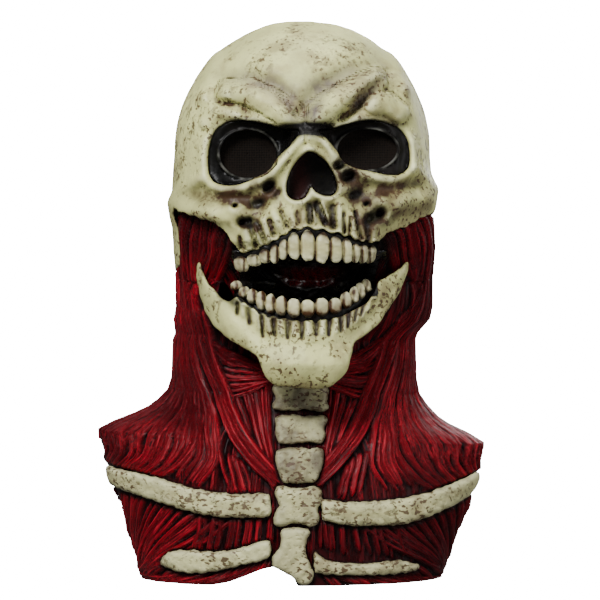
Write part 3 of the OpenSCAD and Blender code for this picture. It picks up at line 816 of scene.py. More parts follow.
def face_marks(verts, marks):
    """Adds the skull's painting: black sockets and gum line, grey creases, dirty pits; and painted shade
    under the brows, in the fold above the bridge, and under the socket rims and cheekbones.
    """
    x, y, z = verts.T
    front = ramp(-y, 20, 50)
    soot = np.zeros(len(x))
    # Black paint in each socket; towards its top the black reaches further out, a painted shadow under the
    # brow
    for loop in SOCKET_LOOPS:
        gap = loop_distance(loop, x, z)
        high = ramp(z - ROLL * x, 340, 358)
        soot = np.maximum(soot, (1 - ramp(gap, -0.6 - high, 1.0 + 5.0 * high)))
    gap = loop_distance(NOSE_LOOP, x, z)
    soot = np.maximum(soot, (1 - ramp(gap, -1.5, 0.6)) * 0.96)
    edge = z - gum_top(x)
    soot = np.maximum(soot, (1 - ramp(edge, 0.0, 0.9)) * (np.abs(x) < 60))
    # The fold above the bridge painted black: painted shade in the deep crease
    fold = relief(x, z, [([(-20, 354.5), (-2, 357), (16, 355.5)], 5.0, 2.2)])
    marks["soot"] = np.maximum(soot, np.clip(fold, 0, 1)) * front
    creases = [([(-64, 396), (-44, 397), (-22, 389), (-7, 371)], 7.5, (0.2, 0.95)),
               ([(56, 408), (32, 401), (14, 391), (2, 380), (-4, 369)], 8.5, (0.2, 1.0)),
               ([(64, 400), (50, 387), (39, 376)], 5.5, (0.3, 1.0)),
               ([(-2, 390), (-3, 364)], 10, (0.35, 1.1))]
    marks["stain"] = np.clip(relief(x, z, creases), 0, 1) * front
    roots = [(p, tuple(w * 1.5 for w in width), 0.95) for p, width, _ in UPPER_POCKETS]
    # Brown in the valley under each socket rim and under each cheekbone: partly a wash, partly painted shade
    under = both([(92, 312), (66, 306), (44, 309)], 8.0, (0.5, 1.2))
    under += both([(62, 286), (84, 290), (98, 293)], 4.0, 0.6)
    halos = [(p, w * 1.5, h) for p, w, h in pit_marks(0.8)]
    dark = np.clip(relief(x, z, halos + under + roots), 0, 1) * front
    for loop in SOCKET_LOOPS + [NOSE_LOOP]:
        dark = np.maximum(dark, 0.75 * (1 - ramp(loop_distance(loop, x, z), 0, 2.6)) * front)
    marks["hollow"] = np.maximum(marks["hollow"], dark) * (1 - 0.75 * marks["stain"])
    depths = [(p, width, -h / 4.8) for p, width, h in UPPER_POCKETS]
    deep = relief(x, z, pit_marks(0.9)) + relief(x, z, depths)
    marks["soot"] = np.maximum(marks["soot"], np.clip(1.3 * (deep - 0.3), 0, 0.92) * front)


def make_skull():
    """The skull's shell, with black linings in the sockets and a red one in the nose."""
    step = 1.3
    clay = sculpt_skull(step)
    x, y, z = clay.xyz()
    shell = np.maximum(clay.d, -(clay.d + WALL))
    for centre, half in PUPILS:
        gap = ellipse_distance(centre, half, x, z)
        shell = np.maximum(shell, -np.maximum(gap, y + 50))
        shell = np.minimum(shell, np.sqrt(gap**2 + (y - RIM_Y) ** 2) - RIM_R)
    border = skull_border(turn(x, y))
    shell = blend_max(shell, border - z, 1.6)
    flat_x, flat_z = x[:, :, 0], z[0, :, :]
    sockets = [loop_distance(loop, flat_x, flat_z) - 0.4 for loop in SOCKET_LOOPS]
    nose = loop_distance(NOSE_LOOP, flat_x, flat_z) - 0.4
    cut = np.minimum(np.minimum(sockets[0], sockets[1]), nose)[:, None, :]
    bone = np.maximum(shell, np.where(y - CUT_Y < 0, -cut, -60)).astype(np.float32)
    verts, quads = clay.mesh(bone, smooth=2)
    # The plain sides and back are smoothed further
    calm = ramp(np.maximum(np.abs(verts[:, 0]), 60 + verts[:, 1]), 82, 94)[:, None]
    for _ in range(5):
        verts = verts + (relaxed(verts, quads, 0.6) - verts) * calm
    skull = build("skull_shell", verts, quads, BONE, bone_marks(clay, verts, face_marks))
    seat(skull, "skull_shell")
    make_opening("eye_socket_left", -1, sockets[0], clay, shell)
    make_opening("eye_socket_right", 1, sockets[1], clay, shell)
    make_opening("nose_lining", 0, nose, clay, shell)


def make_opening(name, side, region, clay, shell):
    """The lining of the left (-1) or right (1) socket or of the nose (0), inside its region of the shell."""
    x, y, _ = clay.xyz()
    part = np.maximum(np.maximum(shell, region[:, None, :]), y - CUT_Y)
    if side:
        part = np.maximum(part, 0.3 - side * x)
    verts, quads = clay.mesh(part.astype(np.float32), smooth=1)
    x, y, z = verts.T
    marks = {"red": np.zeros(len(verts)), "rim_highlight": np.zeros(len(verts))}
    if side:
        for centre, half in PUPILS:
            gap = ellipse_distance(centre, half, x, z)
            # Painted highlight along the raised rim round the opening
            marks["rim_highlight"] += np.exp(-((gap / 1.2) ** 2)) * ramp(-y, 78.5, 80.5)
    else:
        marks["red"] = 0.22 * ramp(y, -95, -90) * np.exp(-(((x + 6) / 7) ** 2))
    piece = build(name, verts, quads, BLACK, marks)
    seat(piece, name)


make_skull()


# ---------------------------------------------------------------- lower jaw

JAW_LOOP = [(-83.5, 254), (-85.5, 242), (-83, 229), (-78, 212), (-69.5, 200.5), (-58, 191), (-47, 185.5),
            (-39, 180), (-36, 172), (-33, 165), (-27, 159), (-14, 156), (2, 155), (16, 156.5), (25, 162),
            (31.5, 171), (35, 183), (39, 192), (50, 199), (59, 208), (68, 220.5), (75, 231), (80, 243),
            (83, 255), (75, 249), (64, 242.5), (56, 238), (52, 228), (42, 219), (22, 211), (0, 208.5),
            (-22, 211), (-42, 219), (-53, 227), (-61, 223), (-71, 231), (-78, 240)]
JAW_DEPTHS = [(150, 97), (158, 98), (175, 101), (190, 98), (212, 97), (240, 100)]
JAW_WIDTH = 96.0
JAW_FORMS = (
    [([(-22, 172), (20, 172)], 17, 5.0), ([(0, 196), (0, 178)], 9, 2.0)]      # chin
    + [([(side * 36, 186), (side * 58, 202), (side * 72, 222), (side * 80, 244)], 8, 2.5) for side in (-1, 1)]
    + [([(side * 34, 193), (side * 52, 212)], 6, -2.0) for side in (-1, 1)]
    + [([(-50, 210), (-20, 199), (20, 199), (48, 211)], 9, 2.5)]
)


# Between these two points the latex stops following the skull and starts following the jaw
HINGE = np.array([0, 0, 290])
BAND_DIRECTION = np.array([0, -0.78, -0.62])
JAW_BAND = ("mask", "jaw", *(tuple((HINGE + BAND_DIRECTION * reach) * MM) for reach in (66, 90)))


def jaw_r(angle, z):
    """Radius of the jaw's outer face."""
    a = np.radians(angle)
    return 1 / np.sqrt((np.sin(a) / JAW_WIDTH) ** 2 + (np.cos(a) / row(z, JAW_DEPTHS)) ** 2)


def make_jaw():
    """The lower jaw: a shell in the shape of its outline, with root pockets below the gum line."""
    step = 1.1
    clay = Clay((-94, -114, 148), (94, -34, 262), step)
    x, y, z = clay.xyz()
    r = np.sqrt(x * x + y * y)
    outer = r - jaw_r(turn(x, y), z)
    flat_x, flat_z = x[:, :, 0], z[0, :, :]
    form = relief(flat_x, flat_z, JAW_FORMS + LOWER_RIDGES) + relief(flat_x, flat_z, LOWER_POCKETS, plump=2.2)
    form = form + mixed(5, flat_x, flat_z, scale=30, octaves=3) * 0.7
    edge = gum_bottom(flat_x) - flat_z
    form = form + 1.6 * np.exp(-(((edge - 1.4) / 1.6) ** 2)) * (np.abs(flat_x) < 55)
    outer = outer - form[:, None, :]
    outline = loop_distance(rounded(JAW_LOOP, 4), flat_x, flat_z)
    outline = outline + mixed(6, flat_x, flat_z, scale=16, octaves=2) * 0.6
    # The casting thins out towards its outline, as if it grew out of the muscle
    inward = np.clip(-outline, 0, 9) / 9
    outer = outer + (2.6 * (1 - np.sqrt(1 - (1 - inward) ** 2)))[:, None, :]
    clay.d = np.maximum(outer, -(r - jaw_r(turn(x, y), z) + WALL + 1.2)).astype(np.float32)
    whole = blend_max(clay.d, outline[:, None, :], 2.0).astype(np.float32)
    verts, quads = clay.mesh(whole, smooth=1)
    clay.d = outer.astype(np.float32)

    def paint(verts, marks):
        x, y, z = verts.T
        roots = [(p, tuple(w * 1.45 for w in width), 1.0) for p, width, _ in LOWER_POCKETS]
        dark = np.clip(relief(x, z, roots), 0, 1)
        marks["hollow"] = np.maximum(marks["hollow"], dark)
        marks["soot"] = (1 - ramp(gum_bottom(x) - z, 0.0, 1.2)) * (np.abs(x) < 56)
        marks["soot"] = np.maximum(marks["soot"], np.clip(dark - 0.4, 0, 0.6) * 1.2)
        corner = relief(x, z, [([(-56, 222), (-66, 228)], 4, 1.0)])
        marks["soot"] = np.maximum(marks["soot"], np.clip(corner, 0, 0.85))

    jaw = build("lower_jaw", verts, quads, JAW_BONE, bone_marks(clay, verts, paint))
    seat(jaw, "lower_jaw", band=JAW_BAND)


# ---------------------------------------------------------------- teeth and gums

ARCH_HALF, ARCH_DEPTH, TOOTH_T = 62.0, 50.0, 8.0


def arch_point(x, depth, off):
    """Point of a dental arch whose front is at depth, x being measured on its outer face."""
    s = np.clip(x / ARCH_HALF, -0.985, 0.985)
    c = np.sqrt(1 - s * s)
    return (ARCH_HALF + off) * s, -(depth - ARCH_DEPTH) - (ARCH_DEPTH + off) * c, s, c


def make_teeth(name, body, teeth, depth, round_tip, grime):
    """A row of single teeth on an arch; round_tip narrows their tips, grime darkens them."""
    step = 0.75
    centres, gums, tips = (list(values) for values in zip(*teeth))
    low, high = min(tips + gums) - 4, max(tips + gums) + 4
    clay = Clay((-66, -depth - 6, low), (66, -depth + 42, high), step)
    middles = [(a + b) / 2 for a, b in zip(centres, centres[1:])]
    edges = [2 * centres[0] - middles[0]] + middles + [2 * centres[-1] - middles[-1]]
    wander = np.random.default_rng(len(centres))
    for k, (x0, x1) in enumerate(zip(edges, edges[1:])):
        mid = (x0 + x1) / 2
        px, py, s, c = arch_point(mid, depth, -TOOTH_T / 2)
        half = min((x1 - x0) / 2 / max(c, 0.45) * 0.5 + (x1 - x0) / 4, 8.2)
        z0, z1 = gums[k], tips[k]
        z_mid, tall = (z0 + z1) / 2, abs(z1 - z0) / 2 + 1.0
        cut, x, y, z = clay.window((px - 14, py - 14, z_mid - tall - 4), (px + 14, py + 14, z_mid + tall + 4))
        lean = wander.uniform(-0.06, 0.06)
        normal = np.array([s * ARCH_DEPTH, -c * ARCH_HALF])
        normal /= np.linalg.norm(normal)
        out = (x - px) * normal[0] + (y - py) * normal[1]
        side = -(x - px) * normal[1] + (y - py) * normal[0] + lean * (z - z_mid)
        rise = (z - z_mid) * (1 if z1 > z0 else -1)   # towards the cutting edge
        up = rise / tall
        width = half * (0.97 - 0.34 * np.clip(-up, 0, 1) ** 2 - round_tip * np.clip(up, 0, 1.2) ** 3)
        thick = 4.4 - 1.5 * np.clip(up, -0.4, 1.1)
        u, v, w = np.abs(side) / width, np.abs(out) / thick, np.abs(rise) / tall
        shape = ((u**3.0 + v**2.4 + w**3.4) ** (1 / 3.0) - 1) * np.minimum(width, thick)
        clay.d[cut] = np.minimum(clay.d[cut], shape)
    x, y, z = clay.xyz()
    clay.d -= (0.22 * mixed(9, x, y, z, scale=7, octaves=2)).astype(np.float32)
    verts, quads = clay.mesh(smooth=1)

    def paint(verts, marks):
        x, y, z = verts.T
        gap = np.min([np.abs(x - arch_point(e, depth, 0)[0]) for e in edges], axis=0)
        stain = np.clip(1 - gap / 2.6, 0, 1)
        from_gum = np.abs(z - np.interp(x, centres, gums))
        neck = np.clip(1 - from_gum / 8.0, 0, 1)
        dirty = np.maximum(marks["hollow"] * 0.6, np.maximum(stain, neck * 0.9))
        marks["hollow"] = np.clip(dirty + grime, 0, 1)
        marks["soot"] = np.clip(1 - from_gum / 2.2, 0, 1) * 0.8 + np.clip(1 - gap / 0.8, 0, 1) * 0.5
        marks["soot"] = np.clip(marks["soot"], 0, 0.9)
        # The teeth far back along the arch get at least half the brown wash: painted shade deep in the mouth
        marks["hollow"] = np.where(y > -depth + 22, np.maximum(marks["hollow"], 0.5), marks["hollow"])

    row_of_teeth = build(name, verts, quads, TOOTH, bone_marks(clay, verts, paint))
    seat(row_of_teeth, name, body)


def make_gum(name, body, depth, low, high):
    """The black strip that the teeth grow from, between two levels that change with x."""
    step = 1.0
    bottom, top = (244, 288) if body == "mask" else (190, 246)
    clay = Clay((-66, -depth - 4, bottom), (66, -depth + 44, top), step)
    x, y, z = clay.xyz()
    u, v = x / (ARCH_HALF - 5.5), (y + depth - ARCH_DEPTH) / (ARCH_DEPTH - 5.5)
    ring = np.abs((np.sqrt(u * u + v * v) - 1) * 52) - 3.2
    flat = x[:, :, 0]
    band = np.maximum(low(flat) - z[0], z[0] - high(flat))[:, None, :]
    shape = blend_max(blend_max(ring, band, 2.5), y + depth - 36, 2.0)
    clay.d = (shape - 0.4 * mixed(4, x, y, z, scale=9, octaves=2)).astype(np.float32)
    verts, quads = clay.mesh(smooth=1)
    gum = build(name, verts, quads, BLACK, {"red": np.zeros(len(verts))})
    seat(gum, name, body)


make_jaw()
make_teeth("upper_teeth", "mask", UPPER_ROW, 111.0, 0.22, 0.02)
make_teeth("lower_teeth", "jaw", LOWER_ROW, 99.0, 0.34, 0.30)
make_gum("upper_gum", "mask", 109.0, lambda x: gum_top(x) - 9, lambda x: gum_top(x) + 1.0)
make_gum("lower_gum", "jaw", 97.0, lambda x: gum_bottom(x) - 7, lambda x: gum_bottom(x) + 5.0)


# ---------------------------------------------------------------- bones of the throat and chest

# Outlines in the front view and how far each stands out of the muscle
BONES = {
    "throat_bone_upper": ([(-26, 153), (-23, 157.5), (-10, 159), (8, 158.5), (17, 156), (19, 150),
                           (17.5, 143), (18.5, 137.5), (12, 135.3), (0, 136.8), (-12, 136), (-24, 136.8),
                           (-26, 141), (-24, 147)], 6.0),
    "throat_bone_middle": ([(-23.5, 131), (-14, 133.4), (0, 132.4), (12, 133.2), (17, 130.5), (15.5, 122),
                            (14.5, 114), (11, 110.5), (0, 112), (-12, 110.6), (-22, 112),
                            (-24, 121)], 6.0),
    "throat_bone_lower": ([(-23, 106), (-10, 108.6), (4, 107.6), (13, 106.8), (13.5, 98), (11, 89), (7, 82),
                           (-6, 80.5), (-18, 81.5), (-22, 89), (-24.5, 98)], 5.6),
    "breastbone_upper": ([(-22, 79), (-8, 77.2), (4, 78.6), (11, 76), (12, 68), (9, 60), (10, 50.5),
                          (3, 46.8), (-8, 49.8), (-20, 47.2), (-26, 49), (-25, 58), (-22, 64),
                          (-25, 72)], 6.0),
    "breastbone_lower": ([(-20, 44.5), (-8, 47), (3, 44), (0, 36), (0, 26), (3, 17), (6, 9), (2, 2.5),
                          (-4, 1.5), (-13, 8.5), (-20, 13), (-27, 16), (-27, 24), (-21, 32)], 5.4),
    "collarbone_left": ([(-157, 90), (-148, 89.5), (-114, 83.5), (-85, 76), (-56, 72.5), (-36, 73.5),
                         (-29, 71), (-28, 63), (-29.5, 55.5), (-45, 54), (-63, 54), (-82, 56), (-100, 60),
                         (-125, 67), (-148, 73), (-156, 76), (-158.5, 83)], 6.5),
    "collarbone_right": ([(12, 68.5), (24, 67), (39, 66), (75, 68.2), (97, 72), (112, 76.2), (130, 82),
                          (139, 85), (142, 82), (141, 75), (130, 64.6), (104, 54.4), (88, 49.5),
                          (75, 47.2), (39, 47), (20, 50), (12.5, 53), (11.5, 61)], 6.5),
    "rib_left": ([(-114, 16), (-107, 25.5), (-92, 28), (-74, 27.4), (-56, 29.6), (-42, 34), (-31, 37),
                  (-28, 33), (-28.5, 25), (-34, 21), (-46, 18), (-59, 14.5), (-72, 11.5), (-85, 9.5),
                  (-98, 9.5), (-108, 12)], 6.0),
    "rib_right": ([(6, 28), (12, 23.5), (20, 20), (46, 17.8), (71, 19.5), (84, 16.5), (90, 13), (86, 9.5),
                   (70, 8), (50, 8), (24, 9), (9, 10.5), (5.5, 15)], 5.6),
}
BONE_LOOPS = {name: rounded(points, 5) for name, (points, rise) in BONES.items()}


def bone_gap(x, z):
    """Distance from the nearest bone outline in the front view, negative under a bone."""
    return np.min([loop_distance(loop, x, z) for loop in BONE_LOOPS.values()], axis=0)


def make_bone(name, seed):
    """A bone casting, domed and pitted, on the body surface inside its outline."""
    rise = BONES[name][1]
    loop = BONE_LOOPS[name]
    step = 0.9
    straight = np.stack(straightened(loop[:, 0], loop[:, 1]), 1)
    low, high = straight.min(0) - 4, straight.max(0) + 4
    depth = [on_body(angle_at(x, z), z)[1] for x, z in straight]
    clay = Clay((low[0], min(depth) - rise - 8, low[1]), (high[0], max(depth) + 7, high[1]), step)
    x, y, z = clay.xyz()
    above = np.hypot(x, y) - body_r(turn(x, y), z)
    flat = settled(np.stack(np.broadcast_arrays(x[:, :, 0], 0.0, z[0, :, :]), -1))
    flat_x, flat_z = flat[..., 0], flat[..., 2]
    outline = loop_distance(loop, flat_x, flat_z) + 0.8 * mixed(seed, flat_x, flat_z, scale=9, octaves=3)
    inward = np.clip(-outline / 6.0, 0, 1)
    dome = rise * (0.25 + 0.75 * np.sqrt(1 - (1 - inward) ** 2))
    dome = dome + 0.8 * mixed(seed + 1, flat_x, flat_z, scale=17, octaves=2)
    dome = dome - 0.9 * ramp(mixed(seed + 2, flat_x, flat_z * 1.6, scale=5.5, octaves=2), 0.45, 0.8) * inward
    shape = np.maximum(above - dome[:, None, :], 0.3 - above)
    # Nothing hangs over the side edge of the chest flap (2.6 mm to a degree there)
    beyond = (np.abs(turn(x, y)) - row(z, FLAP) + 3.0) * 2.6
    clay.d = blend_max(shape, np.maximum(outline[:, None, :], beyond), 1.2).astype(np.float32)
    verts, quads = clay.mesh(smooth=1)

    marks = bone_marks(clay, verts)
    hung = settled(verts)
    edge = loop_distance(loop, hung[:, 0], hung[:, 2])
    marks["hollow"] = np.maximum(marks["hollow"] * 0.7, (1 - ramp(-edge, 0.0, 3.2)) * 0.5)
    # Near black at the very edge, where the bone meets the muscle: painted shade
    marks["soot"] = (1 - ramp(-edge, -1.0, 0.3)) * 0.5
    # Greyed most on the throat bones, less on the breastbone, least on the rest
    marks["stain"] = np.full(len(verts), 0.95 if "throat" in name else 0.5 if "breast" in name else 0.2)
    seat(build(name, hung, quads, CHEST_BONE, marks), name)


# ---------------------------------------------------------------- muscle, drawn on the unrolled body


class MuscleMap:
    """Strands of muscle over angle and level: their height, their tone and their own coordinates."""

    CELL_A, CELL_Z = 0.36, 0.75      # a cell in degrees and in mm

    def __init__(self):
        self.a = np.arange(-180, 180.1, self.CELL_A)
        self.z = np.arange(-4, 300, self.CELL_Z)
        grid_a, grid_z = self.a[:, None], self.z[None, :]
        points = on_body(grid_a, grid_z)
        self.per_degree = np.linalg.norm(np.gradient(points, self.a, axis=0), axis=2)
        self.per_level = np.linalg.norm(np.gradient(points, self.z, axis=1), axis=2)
        self.height = np.zeros(points.shape[:2])
        self.tone = np.zeros(points.shape[:2])
        self.across = np.zeros(points.shape[:2])
        self.run = np.zeros(points.shape[:2])
        self.front = settled(points)
        self.rng = np.random.default_rng(11)

    def walk(self, path, cut):
        """Distance to a path in mm, side of it and length run along it, for the cells of a cut."""
        a, z = self.a[cut[0], None], self.z[None, cut[1]]
        ma, mz = self.per_degree[cut], self.per_level[cut]
        best = np.full(ma.shape, 1e9)
        side, run = np.zeros(ma.shape), np.zeros(ma.shape)
        length = 0.0
        for (a0, z0), (a1, z1) in zip(path, path[1:]):
            da, dz = (a1 - a0) * ma, (z1 - z0) * mz
            ua, uz = (a - a0) * ma, (z - z0) * mz
            size2 = np.maximum(da * da + dz * dz, 1e-6)
            t = np.clip((ua * da + uz * dz) / size2, 0, 1)
            gap = np.hypot(ua - t * da, uz - t * dz)
            nearer = gap < best
            best = np.where(nearer, gap, best)
            side = np.where(nearer, np.sign(ua * dz - uz * da), side)
            step = float(np.sqrt(size2).mean())
            run = np.where(nearer, length + t * step, run)
            length += step
        return best, side, run, length

    def strand(self, points, width, height, lift=0.0):
        """One rope of muscle through (angle, level) points, with finer fibres along it."""
        path = rounded(points, 5, closed=False)
        mid_a, mid_z = path.mean(0)
        i = int(np.clip(np.searchsorted(self.a, mid_a), 1, len(self.a) - 2))
        j = int(np.clip(np.searchsorted(self.z, mid_z), 1, len(self.z) - 2))
        margin_a = width / max(self.per_degree[i, j], 0.5) * 1.8 + 1
        ia = np.searchsorted(self.a, (path[:, 0].min() - margin_a, path[:, 0].max() + margin_a))
        jz = np.searchsorted(self.z, (path[:, 1].min() - width, path[:, 1].max() + width))
        cut = (slice(*ia), slice(*jz))
        if ia[0] == ia[1] or jz[0] == jz[1]:
            return
        best, side, run, length = self.walk(path, cut)
        # The rope thins towards both ends
        taper = np.clip(np.minimum(run, length - run) / (0.16 * length), 0.0, 1) ** 0.6
        half = width * (0.35 + 0.65 * taper)
        u = best / half
        # Two sets of fine fibres, 2.1 and 3.4 mm apart, wander along it
        p = self.rng.uniform(0, 6.28, 4)
        ribs = np.sin(side * best * 2 * math.pi / 2.1 + p[0] + 1.4 * np.sin(run / 13 + p[1]))
        ribs2 = np.sin(side * best * 2 * math.pi / 3.4 + p[2] + 1.1 * np.sin(run / 21 + p[3]))
        crown = np.sqrt(np.clip(1 - u * u, 0, 1))
        rope = (height * crown + 0.22 * ribs * crown + 0.25 * ribs2 * crown) * (0.45 + 0.55 * taper) + lift
        rope = np.where(u < 1, rope, -9)
        over = rope > self.height[cut]
        self.height[cut] = np.where(over, rope, self.height[cut])
        self.tone[cut] = np.where(over, self.rng.uniform(0, 1), self.tone[cut])
        self.across[cut] = np.where(over, side * best, self.across[cut])
        self.run[cut] = np.where(over, run, self.run[cut])

    def fan(self, first, last, count, width, height, lift=0.0, stray=0.5):
        """Strands spread evenly from one guide path to another, each a little astray."""
        first, last = np.array(first, float), np.array(last, float)
        for k in range(count):
            if self.rng.uniform() < 0.06:
                continue
            share = (k + self.rng.uniform(-stray, stray)) / max(count - 1, 1)
            path = first + (last - first) * share
            # Each strand starts and stops a little short of the guides, or beyond them
            head, tail = self.rng.uniform(-0.10, 0.16, 2)
            path[0] += (path[1] - path[0]) * head
            path[-1] += (path[-2] - path[-1]) * tail
            path[:, 0] += self.rng.normal(0, 0.3, len(path))
            path[:, 1] += self.rng.normal(0, 1.0, len(path))
            self.strand(path, width * self.rng.uniform(0.7, 1.35), height * self.rng.uniform(0.7, 1.25),
                        lift + self.rng.uniform(-0.5, 0.5))

    def front_fan(self, first, last, count, width, height, lift=0.0):
        """The same, from guides given as x and z in the front view of the left side, and mirrored."""
        for side in (-1, 1):
            guides = []
            for guide in (first, last):
                straight = [straightened(x, z) for x, z in guide]
                guides.append([(angle_at(-side * x, z), z) for x, z in straight])
            self.fan(*guides, count, width, height, lift)

    def finish(self):
        """Presses the strands down under the bones, paints a shadow round each bone and a darker one beneath
        it, and finds the grooves.
        """
        front = slice(*np.searchsorted(self.a, (-89, 89)))
        low = slice(0, int(np.searchsorted(self.z, 166)))
        gap = np.full(self.height.shape, 99.0)
        gap[front, low] = bone_gap(self.front[front, low, 0], self.front[front, low, 2])
        pressed = 1 - ramp(gap, -0.5, 2.2)
        self.height = self.height * (1 - pressed) + 0.2 * pressed
        # Painted shadow: a dark ring round each bone, and a darker band just beneath it
        below = np.full(self.height.shape, 99.0)
        below[front, low] = bone_gap(self.front[front, low, 0], self.front[front, low, 2] + 2.2)
        self.shade = np.maximum((1 - ramp(gap, -0.2, 1.8)) * 0.7, (1 - ramp(below, 0.0, 2.2)) * 0.8)
        blurred = self.height.copy()
        for axis, n in ((0, 6), (1, 5), (0, 4), (1, 4)):
            blurred = box_mean(blurred, axis, n)
        between = 1.15 * ramp(blurred - self.height, 0.2, 1.3)
        bare = 0.7 * (1 - ramp(self.height, 0.1, 1.2))
        self.groove = np.clip(between + bare, 0, 1)
        self.ridge = ramp(self.height - blurred, 0.25, 1.3)

    def sample(self, field, a, z):
        """A field's values between its cells."""
        fa = np.clip((a - self.a[0]) / self.CELL_A, 0, len(self.a) - 1.001)
        fz = np.clip((z - self.z[0]) / self.CELL_Z, 0, len(self.z) - 1.001)
        i, j = fa.astype(int), fz.astype(int)
        s, t = fa - i, fz - j
        return ((field[i, j] * (1 - s) + field[i + 1, j] * s) * (1 - t)
                + (field[i, j + 1] * (1 - s) + field[i + 1, j + 1] * s) * t)


def draw_muscles():
    """All the strands, the lowest first. Guides of a front fan are x and z in mm on the left side."""
    m = MuscleMap()
    # A low ground of strands, so that no place is left smooth
    around = [[(side * 182, level) for level in (300, 200, 100, -8)] for side in (-1, 1)]
    m.fan(*around, 230, 2.8, 1.3, lift=-0.9)
    # Neck sides sweeping out to the shoulders
    m.front_fan([(-101, 240), (-103, 175), (-110, 150), (-140, 130), (-168, 114)],
                [(-88, 240), (-84, 170), (-72, 126), (-70, 100), (-84, 78)], 38, 2.2, 2.8, 0.3)
    m.front_fan([(-106, 152), (-128, 137), (-156, 108), (-166, 88)],
                [(-86, 140), (-84, 115), (-98, 95), (-120, 78)], 18, 1.9, 2.5, 0.9)
    # The strap muscle from behind the jaw down to the base of the throat
    m.front_fan([(-92, 232), (-82, 185), (-68, 142), (-46, 102), (-26, 80)],
                [(-78, 212), (-68, 170), (-54, 134), (-36, 104), (-20, 86)], 12, 1.9, 3.2, 1.7)
    # Beside the throat blocks
    m.front_fan([(-60, 150), (-48, 124), (-36, 96), (-26, 74)],
                [(-29, 160), (-28, 130), (-26, 105), (-23, 80)], 13, 1.7, 2.6, 0.1)
    # Under the jaw, converging on the throat
    m.front_fan([(-80, 200), (-66, 186), (-50, 178), (-32, 170)],
                [(-72, 150), (-58, 148), (-42, 152), (-26, 158)], 17, 1.7, 2.6, 0.3)
    m.front_fan([(-86, 214), (-78, 196), (-64, 182), (-52, 172)],
                [(-92, 222), (-86, 196), (-76, 176), (-64, 164)], 8, 1.7, 3.0, 0.7)
    # Between the strap muscle and the shoulder fan, above the collarbone
    m.front_fan([(-68, 108), (-64, 92), (-60, 74)], [(-48, 98), (-44, 86), (-40, 72)], 6, 2.0, 2.6, 0.2)
    # Chest: a fan from the outer corner of the flap, and short upright bundles by the breastbone
    m.front_fan([(-137, -4), (-146, 34), (-153, 62), (-158, 80)],
                [(-126, 6), (-108, 20), (-80, 36), (-56, 54)], 23, 2.1, 2.9, 0.5)
    m.front_fan([(-96, 22), (-90, 40), (-88, 60)], [(-28, 30), (-27, 48), (-26, 66)], 15, 1.9, 2.9, 0.3)
    m.front_fan([(-132, 0), (-112, 3), (-94, 12)], [(-42, 0), (-32, 12), (-26, 22)], 20, 1.9, 2.5, 0.2)
    m.front_fan([(-142, -4), (-132, 8), (-122, 16)], [(-114, -6), (-106, 4), (-98, 14)], 7, 1.9, 2.5, 0.4)
    # Cheeks: the chewing muscle from the cheekbone down past the jaw
    m.front_fan([(-101, 300), (-102, 262), (-101, 226), (-100, 190)],
                [(-84, 296), (-87, 262), (-85, 228), (-80, 196)], 14, 2.0, 3.0, 0.8)
    m.front_fan([(-88, 296), (-90, 270), (-87, 246)], [(-56, 284), (-64, 262), (-76, 236)], 15, 1.8, 3.0, 0.4)
    # Behind the ears and down the nape, the sheet muscle of the back
    back = (([(90, 300), (95, 250), (100, 200), (96, 150), (91, 118)],
             [(122, 300), (126, 240), (124, 190), (112, 146), (98, 112)], 19, 2.2, 2.8, 0.6),
            ([(124, 260), (130, 200), (128, 156), (116, 126), (102, 104)],
             [(176, 240), (174, 190), (166, 140), (146, 112), (112, 92)], 29, 2.6, 3.0, 0.8),
            ([(96, 84), (130, 92), (160, 76), (176, 40)],
             [(98, 6), (124, 18), (146, 14), (172, -4)], 26, 2.6, 2.9, 0.5))
    for side in (-1, 1):
        for first, last, *sizes in back:
            m.fan(*([(side * angle, level) for angle, level in guide] for guide in (first, last)), *sizes)
    m.finish()
    return m


MUSCLES = draw_muscles()


def grid_quads(columns, rows, closed):
    """Quads of an outer and an inner grid of points, joined round their edges."""
    count = columns * rows
    col, row_no = np.arange(columns if closed else columns - 1), np.arange(rows - 1)
    c, r = (grid.ravel() for grid in np.meshgrid(col, row_no, indexing="ij"))
    near, far = c * rows + r, (c + 1) % columns * rows + r
    outer = np.stack([near, far, far + 1, near + 1], 1)
    faces = [outer, outer[:, ::-1] + count]
    for edge in (0, rows - 1):
        near, far = col * rows + edge, (col + 1) % columns * rows + edge
        rim = np.stack([near, far, far + count, near + count], 1)
        faces.append(rim[:, ::-1] if edge == 0 else rim)
    if not closed:
        for edge in (0, columns - 1):
            low = edge * rows + row_no
            rim = np.stack([low, low + 1, low + 1 + count, low + count], 1)
            faces.append(rim[:, ::-1] if edge else rim)
    return np.concatenate(faces)


FINE = 1.0      # widens the spacing of the skins' points


SKIN_TOP, SKIN_INSIDE = -1.6, -4.2      # a skin's ground and its inside, from the body surface


